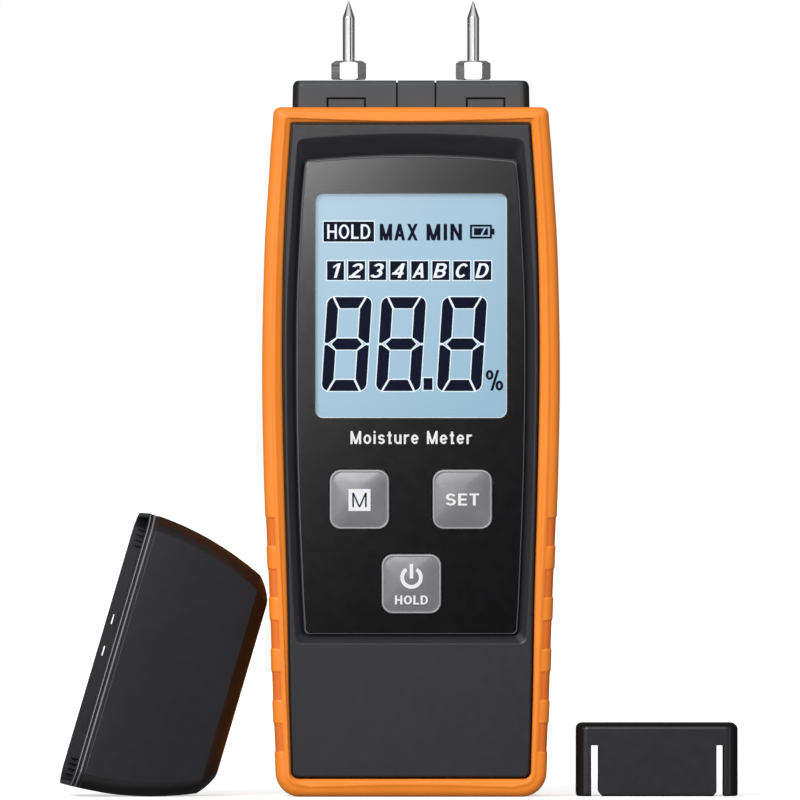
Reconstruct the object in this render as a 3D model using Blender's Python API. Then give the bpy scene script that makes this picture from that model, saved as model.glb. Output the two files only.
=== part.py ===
"""Pin-type moisture meter: a handheld case in a soft bumper, with its loose cap and pin guard.

Units are metres. +Z is up along the meter, -Y is the front with the display, +X is to the
right of a person who reads it. The origin is the centre of the bumper's flat base.
"""

import math

import bmesh
import bpy
from mathutils import Euler, Matrix, Vector

MM = 0.001

# ---------------------------------------------------------------- driving dimensions
GAP = 0.3 * MM                      # clearance kept between neighbouring solids
BODY_TOP = 138.0 * MM               # height of the bumper
BODY_HALF_DEPTH = 14.0 * MM         # front and back of the bumper lips
CASE_HALF_DEPTH = 13.4 * MM         # front and back faces of the case, just under the lips

# Half width of the bumper's outside and of the opening inside its lips, by height.
RIM_OUTSIDE = [(0.0, 27.0), (20.0, 27.8), (40.0, 28.5), (60.0, 29.35), (85.0, 29.8), (110.0, 29.3),
               (130.0, 28.1), (138.0, 27.5)]
RIM_INSIDE = [(0.0, 23.9), (20.0, 24.4), (40.0, 24.75), (60.0, 25.3), (85.0, 25.75), (105.0, 25.6),
              (120.0, 25.0), (138.0, 23.9)]
# Half width of the sloped recess at the case face, and of the overlay panel at its floor.
RECESS_EDGE = [(28.0, 22.8), (40.0, 23.4), (60.0, 24.2), (80.0, 24.6), (100.0, 24.5), (120.0, 23.4),
               (134.0, 22.4)]
PANEL_EDGE = [(28.0, 21.0), (40.0, 21.6), (60.0, 22.4), (80.0, 22.8), (100.0, 22.7), (120.0, 21.7),
              (134.0, 20.5)]
SIDE_STEPS = 8                      # straight pieces along one curved side

BUMPER_WALL = 2.0 * MM
LIP_THICK = 2.0 * MM
LIP_BOTTOM = 3.6 * MM               # the opening inside the lips starts here
LIP_TOP = 134.9 * MM                # and ends here
BUMPER_CORNER_R = 5.0 * MM
BUMPER_EDGE_R = 1.2 * MM
GRIP_PITCH = 10.3 * MM
GRIP_LENGTH = 5.8 * MM
GRIP_FIRST_Z = 11.9 * MM
GRIP_COUNT = 5
GRIP_DEEP = 0.35 * MM
GRIP_BAND = 1.8 * MM

CASE_INSET = BUMPER_WALL + GAP      # case outline, inside the bumper's outside
CAVITY_INSET = 4.8 * MM             # case walls end here
CAVITY_HALF_DEPTH = 10.0 * MM       # inner faces of the front and back walls
CAVITY_LOW = 4.6 * MM
CAVITY_HIGH = 133.2 * MM
ROOT = 1.0 * MM                     # how far a boss or post runs into the wall it stands on
CUT_OVER = 2.0 * MM                 # how far a cutter runs past the face it opens
FAR_FRONT_Y = -20.0 * MM            # clear of the front and of the back, for cutters that run out
FAR_BACK_Y = 20.0 * MM

RECESS_LOW = 30.8 * MM
RECESS_HIGH = 131.2 * MM
PANEL_LOW = 32.6 * MM
PANEL_HIGH = 127.2 * MM
PANEL_CROWN = 1.0 * MM              # the panel's top edge rises this much at its centre
RECESS_FLOOR_Y = -11.9 * MM
PANEL_BACK_Y = RECESS_FLOOR_Y - GAP
PANEL_FRONT_Y = PANEL_BACK_Y - 0.8 * MM

WINDOW_CENTRE_Z = 98.3 * MM
WINDOW_W = 38.4 * MM
WINDOW_H = 45.0 * MM
WINDOW_R = 1.6 * MM
LCD_W = 40.4 * MM
LCD_H = 47.0 * MM
LCD_THICK = 1.6 * MM
DIFFUSER_THICK = 3.0 * MM
ZEBRA_HALF_L = 18.0 * MM
ZEBRA_H = 2.6 * MM
LCD_FRAME_WALL = 1.7 * MM

KEY_SIZE = 12.0 * MM
KEY_R = 2.3 * MM
KEY_TRAVEL = 0.6 * MM
KEY_FRONT_Y = -14.0 * MM
KEY_BACK_Y = -9.0 * MM
KEY_EDGE_R = 0.5 * MM
KEY_FLANGE = 1.0 * MM
PLUNGER_R = 1.5 * MM
KEY_PLACES = {"mode": (-10.3 * MM, 59.5 * MM), "set": (10.3 * MM, 59.5 * MM),
              "power": (0.1 * MM, 42.6 * MM)}
SWITCH_TOP_Y = -7.4 * MM
SWITCH_SIZE = 6.0 * MM
SWITCH_BUTTON_R = 1.7 * MM

BOARD_FRONT_Y = -4.6 * MM
BOARD_THICK = 1.6 * MM
BOARD_BACK_Y = BOARD_FRONT_Y + BOARD_THICK
BOARD_HALF_W = 22.3 * MM
BOARD_LOW = 34.0 * MM
BOARD_HIGH = 125.2 * MM
BOARD_SCREWS = {"left": (-19.6 * MM, 69.4 * MM), "right": (19.6 * MM, 69.4 * MM)}
BOARD_POST_R = 2.4 * MM
BOARD_PILOT_R = 1.1 * MM
LEAD_R = 0.5 * MM

BLOCK_HALF_W = 23.8 * MM
BLOCK_HALF_D = 10.0 * MM
BLOCK_TOP = 143.4 * MM
BLOCK_CORNER_R = 2.0 * MM
BLOCK_EDGE = 1.5 * MM               # height and depth of the bevel round the block's top
NECK_HALF_W = 19.7 * MM
NECK_HALF_D = 8.0 * MM
NECK_LOW = 132.8 * MM
LATCH_WINDOWS = (-16.9 * MM, 11.0 * MM)
LATCH_W = 7.9 * MM
LATCH_LOW = 138.2 * MM
LATCH_HIGH = 140.0 * MM
BLOCK_SEAMS = (-2.8 * MM, 4.9 * MM)
SEAM_W = 0.3 * MM
SEAM_DEEP = 0.7 * MM
STUD_BORE_R = 2.3 * MM
PIN_PITCH = 25.0 * MM
PIN_R = 1.2 * MM
PIN_TIP_Z = 159.5 * MM
PIN_TAPER_Z = 156.3 * MM
COLLAR_ACROSS_CORNERS = 7.0 * MM
COLLAR_TOP = 147.5 * MM

CELL_R = 5.25 * MM                  # AAA cell
CELL_LENGTH = 44.5 * MM
CELL_PITCH = 11.0 * MM
CELL_Y = 4.7 * MM
SPRING_WIRE_R = 0.35 * MM
PLATE_THICK = 0.5 * MM
PLATE_HALF_D = 4.6 * MM
POCKET_HALF_W = 17.2 * MM
POCKET_LOW = 12.0 * MM
POCKET_HIGH = 64.2 * MM
POCKET_FLOOR_Y = -0.9 * MM
POCKET_WALL = 1.5 * MM
DOOR_HALF_W = 19.0 * MM
DOOR_LOW = 10.2 * MM
DOOR_HIGH = 66.0 * MM
DOOR_THICK = 2.0 * MM
DOOR_PIVOT = Vector((0.0, CASE_HALF_DEPTH - 0.2 * MM, DOOR_LOW))
DOOR_GROOVES = 5
GROOVE_PITCH = 2.2 * MM
GROOVE_HALF_W = 7.0 * MM
GROOVE_H = 1.0 * MM
GROOVE_DEEP = 0.5 * MM
HOOK_PLACES = (-10.0 * MM, 10.0 * MM)
HOOK_HALF_W = 3.0 * MM
HOOK_THICK = 0.8 * MM
HOOK_DROP = 1.2 * MM
PAD_HALF_W = 14.5 * MM
PAD_LOW = 30.0 * MM
PAD_HIGH = 46.0 * MM
PAD_THICK = 0.8 * MM

SCREW_PLACES = {"upper_left": (-20.0 * MM, 128.6 * MM), "upper_right": (20.0 * MM, 128.6 * MM),
                "lower_left": (-20.6 * MM, 7.6 * MM), "lower_right": (20.6 * MM, 7.6 * MM)}
BOSS_R = 2.8 * MM
PILOT_R = 1.4 * MM
SCREW_HOLE_R = 1.5 * MM
COUNTERBORE_R = 2.8 * MM
COUNTERBORE_Y = 8.7 * MM
SCREW_TIP_Y = -6.0 * MM
SCREW_HEAD_Y = 9.0 * MM
SCREW_R = 1.1 * MM
SCREW_HEAD_R = 2.4 * MM
SCREW_HEAD_H = 1.9 * MM

LABEL_PLACE = (0.0, 97.0 * MM)
LABEL_W = 38.0 * MM
LABEL_H = 34.0 * MM
LABEL_SUNK = 0.6 * MM

CAP_MOUTH = (28.4 * MM, 13.6 * MM)  # half width and half depth of the cap at its mouth
CAP_END = (21.4 * MM, 11.4 * MM)    # the same at its closed end
CAP_BOW = 1.7 * MM                  # how far its long sides bulge half way up
CAP_HEIGHT = 28.0 * MM
CAP_WALL = 1.8 * MM
CAP_LIP_WALL = 0.9 * MM             # the wall is thinner round the mouth
CAP_CORNER_R = 3.2 * MM
CAP_TURN = math.radians(106.5)      # how far the cap is tipped over onto its side
CAP_YAW = math.radians(6.8)         # its mouth is turned a little to the front
CAP_Y = -1.5 * MM

GUARD_WIDTH = 32.4 * MM
GUARD_HEIGHT = 14.6 * MM
GUARD_DEPTH = 16.0 * MM
GUARD_TOP_R = 1.3 * MM
GUARD_FOOT_R = 0.5 * MM
GUARD_EDGE_R = 0.7 * MM
GUARD_CROWN = 0.2 * MM
GUARD_SLOT_PITCH = 25.2 * MM
GUARD_SLOT_W = 1.5 * MM
GUARD_SLOT_H = 10.2 * MM
GUARD_SOCKET_R = 1.5 * MM
GUARD_CENTRE_X = 49.3 * MM


# ---------------------------------------------------------------- materials
def material(name, colour, roughness, metallic=0.0, alpha=1.0):
    """A Principled material with one plain colour."""
    made = bpy.data.materials.new(name)
    made.use_nodes = True
    shader = made.node_tree.nodes["Principled BSDF"]
    shader.inputs["Base Color"].default_value = (*colour, 1.0)
    shader.inputs["Roughness"].default_value = roughness
    shader.inputs["Metallic"].default_value = metallic
    shader.inputs["Alpha"].default_value = alpha
    made.diffuse_color = (*colour, alpha)
    return made


COLOURS = {
    "bumper_rubber": ((0.90, 0.27, 0.03), 0.55, 0.0, 1.0),
    "housing_plastic": ((0.045, 0.045, 0.05), 0.50, 0.0, 1.0),
    "panel_gloss": ((0.012, 0.012, 0.014), 0.10, 0.0, 1.0),
    "window_clear": ((0.85, 0.92, 0.98), 0.05, 0.0, 0.15),
    "lcd_glass": ((0.52, 0.66, 0.78), 0.15, 0.0, 1.0),
    "diffuser_plastic": ((0.85, 0.88, 0.92), 0.45, 0.0, 1.0),
    "frame_plastic": ((0.75, 0.75, 0.73), 0.50, 0.0, 1.0),
    "elastomer": ((0.55, 0.57, 0.60), 0.70, 0.0, 1.0),
    "board": ((0.02, 0.20, 0.09), 0.45, 0.0, 1.0),
    "chip_plastic": ((0.02, 0.02, 0.02), 0.45, 0.0, 1.0),
    "can_metal": ((0.70, 0.70, 0.71), 0.30, 1.0, 1.0),
    "key_plastic": ((0.27, 0.27, 0.28), 0.22, 0.0, 1.0),
    "block_plastic": ((0.025, 0.025, 0.028), 0.42, 0.0, 1.0),
    "bright_steel": ((0.72, 0.72, 0.73), 0.18, 1.0, 1.0),
    "brass": ((0.75, 0.58, 0.28), 0.30, 1.0, 1.0),
    "spring_steel": ((0.66, 0.66, 0.67), 0.28, 1.0, 1.0),
    "screw_steel": ((0.12, 0.12, 0.13), 0.40, 1.0, 1.0),
    "lead_red": ((0.55, 0.03, 0.02), 0.50, 0.0, 1.0),
    "lead_black": ((0.02, 0.02, 0.02), 0.50, 0.0, 1.0),
    "cell_wrap": ((0.10, 0.12, 0.16), 0.30, 0.0, 1.0),
    "foam": ((0.06, 0.06, 0.06), 0.90, 0.0, 1.0),
    "label_paper": ((0.70, 0.70, 0.70), 0.45, 0.0, 1.0),
    "cap_plastic": ((0.02, 0.02, 0.022), 0.48, 0.0, 1.0),
}


# ---------------------------------------------------------------- modelling helpers
def clear_scene():
    for old in list(bpy.data.objects):
        bpy.data.objects.remove(old, do_unlink=True)


def parent_empty(name, place):
    empty = bpy.data.objects.new(name, None)
    empty.location = place
    bpy.context.scene.collection.objects.link(empty)
    return empty


def solid(name, bm, slot=None):
    """Turns a bmesh into an object with outward faces; with no slot it is a hidden helper."""
    bmesh.ops.recalc_face_normals(bm, faces=bm.faces)
    mesh = bpy.data.meshes.new(name)
    bm.to_mesh(mesh)
    bm.free()
    made = bpy.data.objects.new(name, mesh)
    bpy.context.scene.collection.objects.link(made)
    if slot is None:
        made.hide_render = True
        made.display_type = "WIRE"
    else:
        mesh.materials.append(MATERIALS[slot])
    return made


def combine(target, other, operation):
    modifier = target.modifiers.new(other.name, "BOOLEAN")
    modifier.operation = operation
    modifier.solver = "EXACT"
    modifier.object = other
    return target


def cut(target, *cutters):
    for cutter in cutters:
        combine(target, cutter, "DIFFERENCE")


def unite(target, *others):
    for other in others:
        combine(target, other, "UNION")


def round_edges(target, width, segments=2, angle=50.0):
    modifier = target.modifiers.new("rounding", "BEVEL")
    modifier.width = width
    modifier.segments = segments
    modifier.limit_method = "ANGLE"
    modifier.angle_limit = math.radians(angle)
    return target


def smooth(target, angle=35.0):
    target.data.shade_smooth()
    target.data.set_sharp_from_angle(angle=math.radians(angle))
    return target


def loft(name, rings, slot=None):
    """A closed solid through rings of equal length, with flat ends."""
    bm = bmesh.new()
    loops = [[bm.verts.new(point) for point in ring] for ring in rings]
    count = len(loops[0])
    for lower, upper in zip(loops, loops[1:]):
        for i in range(count):
            j = (i + 1) % count
            bm.faces.new((lower[i], lower[j], upper[j], upper[i]))
    bm.faces.new(loops[0])
    bm.faces.new(loops[-1])
    return solid(name, bm, slot)


def prism_y(name, outline, y_low, y_high, slot=None):
    """An outline of (x, z) points, extruded along Y."""
    return loft(name, [[(x, y, z) for x, z in outline] for y in (y_low, y_high)], slot)


def block(name, low, high, slot=None):
    """A box between two corners."""
    size = Vector(high) - Vector(low)
    centre = (Vector(high) + Vector(low)) / 2
    bm = bmesh.new()
    bmesh.ops.create_cube(bm, size=1.0, matrix=Matrix.Translation(centre) @ Matrix.Diagonal((*size, 1.0)))
    return solid(name, bm, slot)


def turned(name, profile, origin, direction, slot=None, segments=24):
    """A profile of (radius, distance) points, turned about a line from origin along direction."""
    turn = Vector((0, 0, 1)).rotation_difference(Vector(direction)).to_matrix().to_4x4()
    place = Matrix.Translation(origin) @ turn
    bm = bmesh.new()
    rings = []
    for radius, distance in profile:
        angles = [2 * math.pi * i / segments for i in range(segments)]
        ring = [(radius * math.cos(a), radius * math.sin(a), distance) for a in angles]
        rings.append([bm.verts.new(place @ Vector(point)) for point in ring])
    for lower, upper in zip(rings, rings[1:]):
        for i in range(segments):
            j = (i + 1) % segments
            bm.faces.new((lower[i], lower[j], upper[j], upper[i]))
    bm.faces.new(rings[0])
    bm.faces.new(rings[-1])
    return solid(name, bm, slot)


def rod(name, radius, start, end, slot=None, segments=24):
    reach = Vector(end) - Vector(start)
    return turned(name, [(radius, 0.0), (radius, reach.length)], start, reach, slot, segments)


def wire(name, points, radius, slot):
    """A round lead that follows a smooth curve through the points."""
    ends = [points[0], *points, points[-1]]
    path = []
    for before, start, finish, after in zip(ends, ends[1:], ends[2:], ends[3:]):
        for step in range(4):
            path.append(catmull_rom(before, start, finish, after, step / 4))
    path.append(Vector(points[-1]))
    curve = bpy.data.curves.new(name, "CURVE")
    curve.dimensions = "3D"
    curve.bevel_depth = radius
    curve.bevel_resolution = 2
    curve.use_fill_caps = True
    spline = curve.splines.new("POLY")
    spline.points.add(len(path) - 1)
    for place, point in zip(spline.points, path):
        place.co = (*point, 1.0)
    curve.materials.append(MATERIALS[slot])
    made = bpy.data.objects.new(name, curve)
    bpy.context.scene.collection.objects.link(made)
    return made


def catmull_rom(before, start, finish, after, t):
    before, start, finish, after = (Vector(p) for p in (before, start, finish, after))
    return 0.5 * (2 * start + (finish - before) * t
                  + (2 * before - 5 * start + 4 * finish - after) * t ** 2
                  + (3 * start - before - 3 * finish + after) * t ** 3)


# ---------------------------------------------------------------- outlines
def half_width(stations, height):
    """Smooth half width at a height, through stations given in millimetres."""
    z = min(max(height / MM, stations[0][0]), stations[-1][0])
    place = max(i for i in range(len(stations) - 1) if stations[i][0] <= z)
    ends = [stations[max(place - 1, 0)], stations[place], stations[place + 1],
            stations[min(place + 2, len(stations) - 1)]]
    t = (z - stations[place][0]) / (stations[place + 1][0] - stations[place][0])
    widths = [(width, 0.0, 0.0) for _, width in ends]
    return catmull_rom(*widths, t).x * MM


def arc(centre, radius, start, end, steps):
    """Points from the start angle to the end angle, in degrees."""
    angles = [math.radians(start + (end - start) * i / steps) for i in range(steps + 1)]
    return [(centre[0] + radius * math.cos(a), centre[1] + radius * math.sin(a)) for a in angles]


def barrel(stations, inset, low, high, low_r, high_r, crown=0.0):
    """The meter's outline: bowed sides, rounded corners, and a top edge that may be crowned."""
    def width(z):
        return half_width(stations, z) - inset

    right = arc((width(low + low_r) - low_r, low + low_r), low_r, -90, 0, 5)
    start, end = low + low_r, high - high_r
    for i in range(1, SIDE_STEPS):
        z = start + (end - start) * i / SIDE_STEPS
        right.append((width(z), z))
    right += arc((width(end) - high_r, end), high_r, 0, 90, 3)
    if crown:
        edge = width(end) - high_r
        right += [(edge * s, high + crown * (1 - s * s)) for s in (0.75, 0.5, 0.25)]
    left = [(-x, z) for x, z in reversed(right)]
    middle = [(0.0, high + crown)] if crown else []
    return right + middle + left


def rounded(centre_x, centre_z, width, height, radius, steps=4):
    """A rectangle with round corners, in the X-Z plane."""
    outline = []
    for start, side_x, side_z in ((-90, 1, -1), (0, 1, 1), (90, -1, 1), (180, -1, -1)):
        corner = (centre_x + side_x * (width / 2 - radius), centre_z + side_z * (height / 2 - radius))
        outline += arc(corner, radius, start, start + 90, steps)
    return outline


# ---------------------------------------------------------------- bumper and housings
def make_bumper():
    outside = barrel(RIM_OUTSIDE, 0.0, 0.0, BODY_TOP, BUMPER_CORNER_R, 1.5 * MM)
    bumper = prism_y("bumper", outside, -BODY_HALF_DEPTH, BODY_HALF_DEPTH, "bumper_rubber")
    round_edges(bumper, BUMPER_EDGE_R, 2, 60.0)
    opening = barrel(RIM_INSIDE, 0.0, LIP_BOTTOM, LIP_TOP, 1.5 * MM, 0.5 * MM)
    cut(bumper, prism_y("bumper_opening", opening, FAR_FRONT_Y, FAR_BACK_Y))
    inside = barrel(RIM_OUTSIDE, BUMPER_WALL, BUMPER_WALL, BODY_TOP - BUMPER_WALL, 3.0 * MM, 1.0 * MM)
    lip_inner = BODY_HALF_DEPTH - LIP_THICK
    cut(bumper, prism_y("bumper_inside", inside, -lip_inner, lip_inner))
    hole = rounded(0.0, 0.0, 2 * (BLOCK_HALF_W + GAP), 2 * (BLOCK_HALF_D + GAP), BLOCK_CORNER_R + GAP, 3)
    cut(bumper, loft("bumper_top_opening", [[(x, y, z) for x, y in hole] for z in (NECK_LOW, BLOCK_TOP)]))
    for index in range(GRIP_COUNT):
        z = GRIP_FIRST_Z + index * GRIP_PITCH
        face = half_width(RIM_OUTSIDE, z)
        for side in (-1, 1):
            deep = sorted((side * (face - GRIP_DEEP), side * (face + CUT_OVER)))
            band = sorted((side * (face - GRIP_BAND), side * (face + CUT_OVER)))
            low, high = z - GRIP_LENGTH / 2, z + GRIP_LENGTH / 2
            name = f"grip_{index}_{'left' if side < 0 else 'right'}"
            cut(bumper, block(f"{name}_side", (deep[0], FAR_FRONT_Y, low), (deep[1], FAR_BACK_Y, high)))
            cut(bumper, block(f"{name}_front", (band[0], FAR_FRONT_Y, low),
                              (band[1], -BODY_HALF_DEPTH + GRIP_DEEP, high)))
    return smooth(bumper)


def half_case(name, side):
    """One housing: a tray with a raised land that fills the opening inside the bumper's lip."""
    parting = side * GAP / 2
    shoulder_depth = BODY_HALF_DEPTH - LIP_THICK - GAP
    tray = barrel(RIM_OUTSIDE, CASE_INSET, CASE_INSET, BODY_TOP - CASE_INSET, 2.7 * MM, 1.0 * MM)
    made = prism_y(name, tray, *sorted((parting, side * shoulder_depth)), "housing_plastic")
    land = barrel(RIM_INSIDE, GAP, LIP_BOTTOM + GAP, LIP_TOP - GAP, 1.2 * MM, 0.5 * MM)
    raised = sorted((side * (shoulder_depth - 0.7 * MM), side * CASE_HALF_DEPTH))
    unite(made, prism_y(f"{name}_land", land, *raised))
    cavity = barrel(RIM_OUTSIDE, CAVITY_INSET, CAVITY_LOW, CAVITY_HIGH, 1.0 * MM, 1.0 * MM)
    hollow = sorted((side * -CUT_OVER, side * CAVITY_HALF_DEPTH))
    cut(made, prism_y(f"{name}_cavity", cavity, *hollow))
    neck_x, neck_y = NECK_HALF_W + GAP, NECK_HALF_D + GAP
    cut(made, block(f"{name}_neck", (-neck_x, -neck_y, CAVITY_HIGH - CUT_OVER), (neck_x, neck_y, BLOCK_TOP)))
    return made


def make_front_housing():
    housing = half_case("front_housing", -1)
    edge = barrel(RECESS_EDGE, 0.0, RECESS_LOW, RECESS_HIGH, 1.5 * MM, 1.5 * MM, PANEL_CROWN)
    floor = barrel(PANEL_EDGE, -GAP, PANEL_LOW - GAP, PANEL_HIGH + GAP, 1.2 * MM, 1.2 * MM, PANEL_CROWN)
    slope = CASE_HALF_DEPTH + RECESS_FLOOR_Y
    over = 0.5 * MM
    grown = [(e[0] + (e[0] - f[0]) * over / slope, e[1] + (e[1] - f[1]) * over / slope)
             for e, f in zip(edge, floor)]
    rings = [[(x, -CASE_HALF_DEPTH - over, z) for x, z in grown],
             [(x, RECESS_FLOOR_Y, z) for x, z in floor]]
    cut(housing, loft("panel_recess", rings))
    lcd_hole = (LCD_W / 2 + GAP, LCD_H / 2 + GAP)
    cut(housing, block("lcd_opening", (-lcd_hole[0], FAR_FRONT_Y, WINDOW_CENTRE_Z - lcd_hole[1]),
                       (lcd_hole[0], KEY_BACK_Y, WINDOW_CENTRE_Z + lcd_hole[1])))
    for key, (x, z) in KEY_PLACES.items():
        hole = rounded(x, z, KEY_SIZE + 2 * GAP, KEY_SIZE + 2 * GAP, KEY_R + GAP)
        cut(housing, prism_y(f"{key}_opening", hole, FAR_FRONT_Y, KEY_BACK_Y))
    for place, (x, z) in SCREW_PLACES.items():
        boss = rod(f"front_boss_{place}", BOSS_R, (x, -CAVITY_HALF_DEPTH - ROOT, z), (x, -GAP / 2, z),
                   segments=16)
        pilot = rod(f"front_pilot_{place}", PILOT_R, (x, SCREW_TIP_Y - 1.5 * MM, z), (x, CUT_OVER, z),
                    segments=12)
        unite(housing, boss)
        cut(housing, pilot)
    for x, z in BOARD_SCREWS.values():
        post = rod(f"board_post_{x > 0}", BOARD_POST_R, (x, -CAVITY_HALF_DEPTH - ROOT, z),
                   (x, BOARD_FRONT_Y - GAP, z), segments=16)
        pilot = rod(f"board_pilot_{x > 0}", BOARD_PILOT_R, (x, KEY_BACK_Y, z), (x, BOARD_BACK_Y, z),
                    segments=12)
        unite(housing, post)
        cut(housing, pilot)
    return housing


def make_rear_housing():
    housing = half_case("rear_housing", 1)
    outer = POCKET_HALF_W + POCKET_WALL
    unite(housing, block("pocket_walls", (-outer, POCKET_FLOOR_Y - POCKET_WALL, POCKET_LOW - POCKET_WALL),
                         (outer, CAVITY_HALF_DEPTH + ROOT, POCKET_HIGH + POCKET_WALL)))
    for place, (x, z) in SCREW_PLACES.items():
        unite(housing, rod(f"rear_boss_{place}", BOSS_R + 1.0 * MM, (x, GAP / 2, z),
                           (x, CAVITY_HALF_DEPTH + ROOT, z), segments=16))
    cut(housing, block("pocket_inside", (-POCKET_HALF_W, POCKET_FLOOR_Y, POCKET_LOW),
                       (POCKET_HALF_W, FAR_BACK_Y, POCKET_HIGH)))
    ledge_y = CASE_HALF_DEPTH - DOOR_THICK - GAP
    cut(housing, block("door_rebate", (-DOOR_HALF_W - GAP, ledge_y, DOOR_LOW - GAP),
                       (DOOR_HALF_W + GAP, FAR_BACK_Y, DOOR_HIGH + GAP)))
    for x in HOOK_PLACES:
        cut(housing, block(f"hook_slot_{x > 0}", (x - HOOK_HALF_W - GAP, 10.7 * MM, DOOR_LOW - HOOK_DROP - GAP),
                           (x + HOOK_HALF_W + GAP, 12.5 * MM, DOOR_LOW + 1 * MM)))
    notch = rounded(0.0, DOOR_HIGH + 1.2 * MM, 14 * MM, 5 * MM, 1.4 * MM)
    cut(housing, prism_y("thumb_notch", notch, CASE_HALF_DEPTH - 1.2 * MM, FAR_BACK_Y))
    seat = rounded(*LABEL_PLACE, LABEL_W + 2 * GAP, LABEL_H + 2 * GAP, 1.5 * MM)
    cut(housing, prism_y("label_recess", seat, CASE_HALF_DEPTH - LABEL_SUNK, FAR_BACK_Y))
    for place, (x, z) in SCREW_PLACES.items():
        cut(housing,
            rod(f"screw_hole_{place}", SCREW_HOLE_R, (x, -CUT_OVER, z), (x, FAR_BACK_Y, z), segments=12),
            rod(f"counterbore_{place}", COUNTERBORE_R, (x, COUNTERBORE_Y, z), (x, FAR_BACK_Y, z), segments=20))
    return housing


def make_battery_door():
    """The door and its foam pad; both turn about the door's outer bottom edge."""
    hinge = parent_empty("battery_door_axis", DOOR_PIVOT)
    inner = CASE_HALF_DEPTH - DOOR_THICK
    outline = rounded(0.0, (DOOR_LOW + DOOR_HIGH) / 2, 2 * DOOR_HALF_W, DOOR_HIGH - DOOR_LOW, 1.0 * MM, 2)
    door = prism_y("battery_door", outline, inner, CASE_HALF_DEPTH, "housing_plastic")
    for x in HOOK_PLACES:
        unite(door, block(f"hook_{x > 0}", (x - HOOK_HALF_W, inner, DOOR_LOW - HOOK_DROP),
                          (x + HOOK_HALF_W, inner + HOOK_THICK, DOOR_LOW + ROOT)))
    for index in range(DOOR_GROOVES):
        z = DOOR_HIGH - 6 * MM - index * GROOVE_PITCH
        cut(door, block(f"door_groove_{index}", (-GROOVE_HALF_W, CASE_HALF_DEPTH - GROOVE_DEEP, z),
                        (GROOVE_HALF_W, FAR_BACK_Y, z + GROOVE_H)))
    pad_back = inner - GAP
    pad = block("foam_pad", (-PAD_HALF_W, pad_back - PAD_THICK, PAD_LOW), (PAD_HALF_W, pad_back, PAD_HIGH), "foam")
    for piece in (door, pad):
        piece.parent = hinge
        piece.matrix_parent_inverse = Matrix.Translation(-DOOR_PIVOT)


# ---------------------------------------------------------------- control panel and display
def make_panel():
    outline = barrel(PANEL_EDGE, 0.0, PANEL_LOW, PANEL_HIGH, 1.0 * MM, 1.2 * MM, PANEL_CROWN)
    panel = prism_y("overlay_panel", outline, PANEL_FRONT_Y, PANEL_BACK_Y, "panel_gloss")
    window = rounded(0.0, WINDOW_CENTRE_Z, WINDOW_W, WINDOW_H, WINDOW_R)
    cut(panel, prism_y("window_opening", window, FAR_FRONT_Y, RECESS_FLOOR_Y))
    for key, (x, z) in KEY_PLACES.items():
        hole = rounded(x, z, KEY_SIZE + 2 * GAP, KEY_SIZE + 2 * GAP, KEY_R + GAP)
        cut(panel, prism_y(f"{key}_panel_hole", hole, FAR_FRONT_Y, RECESS_FLOOR_Y))
    lens = rounded(0.0, WINDOW_CENTRE_Z, WINDOW_W - 2 * GAP, WINDOW_H - 2 * GAP, WINDOW_R - GAP)
    prism_y("display_window", lens, PANEL_FRONT_Y, PANEL_BACK_Y, "window_clear")


def make_display():
    """The LCD stack: glass, diffuser, connector strips and the frame that holds them to the board."""
    glass_front = RECESS_FLOOR_Y
    glass_back = glass_front + LCD_THICK
    low, high = WINDOW_CENTRE_Z - LCD_H / 2, WINDOW_CENTRE_Z + LCD_H / 2
    block("lcd_glass", (-LCD_W / 2, glass_front, low), (LCD_W / 2, glass_back, high), "lcd_glass")
    behind = glass_back + GAP
    diffuser_back = behind + DIFFUSER_THICK
    block("backlight_diffuser", (-LCD_W / 2, behind, low + ZEBRA_H + 3 * GAP),
          (LCD_W / 2, diffuser_back, high - ZEBRA_H - 3 * GAP), "diffuser_plastic")
    board_side = BOARD_FRONT_Y - GAP
    for name, foot in (("lower", low + GAP), ("upper", high - GAP - ZEBRA_H)):
        block(f"zebra_strip_{name}", (-ZEBRA_HALF_L, behind, foot), (ZEBRA_HALF_L, board_side, foot + ZEBRA_H),
              "elastomer")
    hole_x, hole_z = LCD_W / 2 + GAP, LCD_H / 2 + GAP
    frame_x, frame_z = hole_x + LCD_FRAME_WALL, hole_z + LCD_FRAME_WALL
    frame = block("lcd_frame", (-frame_x, -CAVITY_HALF_DEPTH + GAP, WINDOW_CENTRE_Z - frame_z),
                  (frame_x, board_side, WINDOW_CENTRE_Z + frame_z), "frame_plastic")
    cut(frame, block("lcd_frame_inside", (-hole_x, FAR_FRONT_Y, WINDOW_CENTRE_Z - hole_z),
                     (hole_x, BOARD_BACK_Y, WINDOW_CENTRE_Z + hole_z)))
    block("backlight_led", (-4 * MM, diffuser_back + GAP, WINDOW_CENTRE_Z - 2 * MM),
          (4 * MM, board_side, WINDOW_CENTRE_Z + 2 * MM), "lcd_glass")


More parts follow.
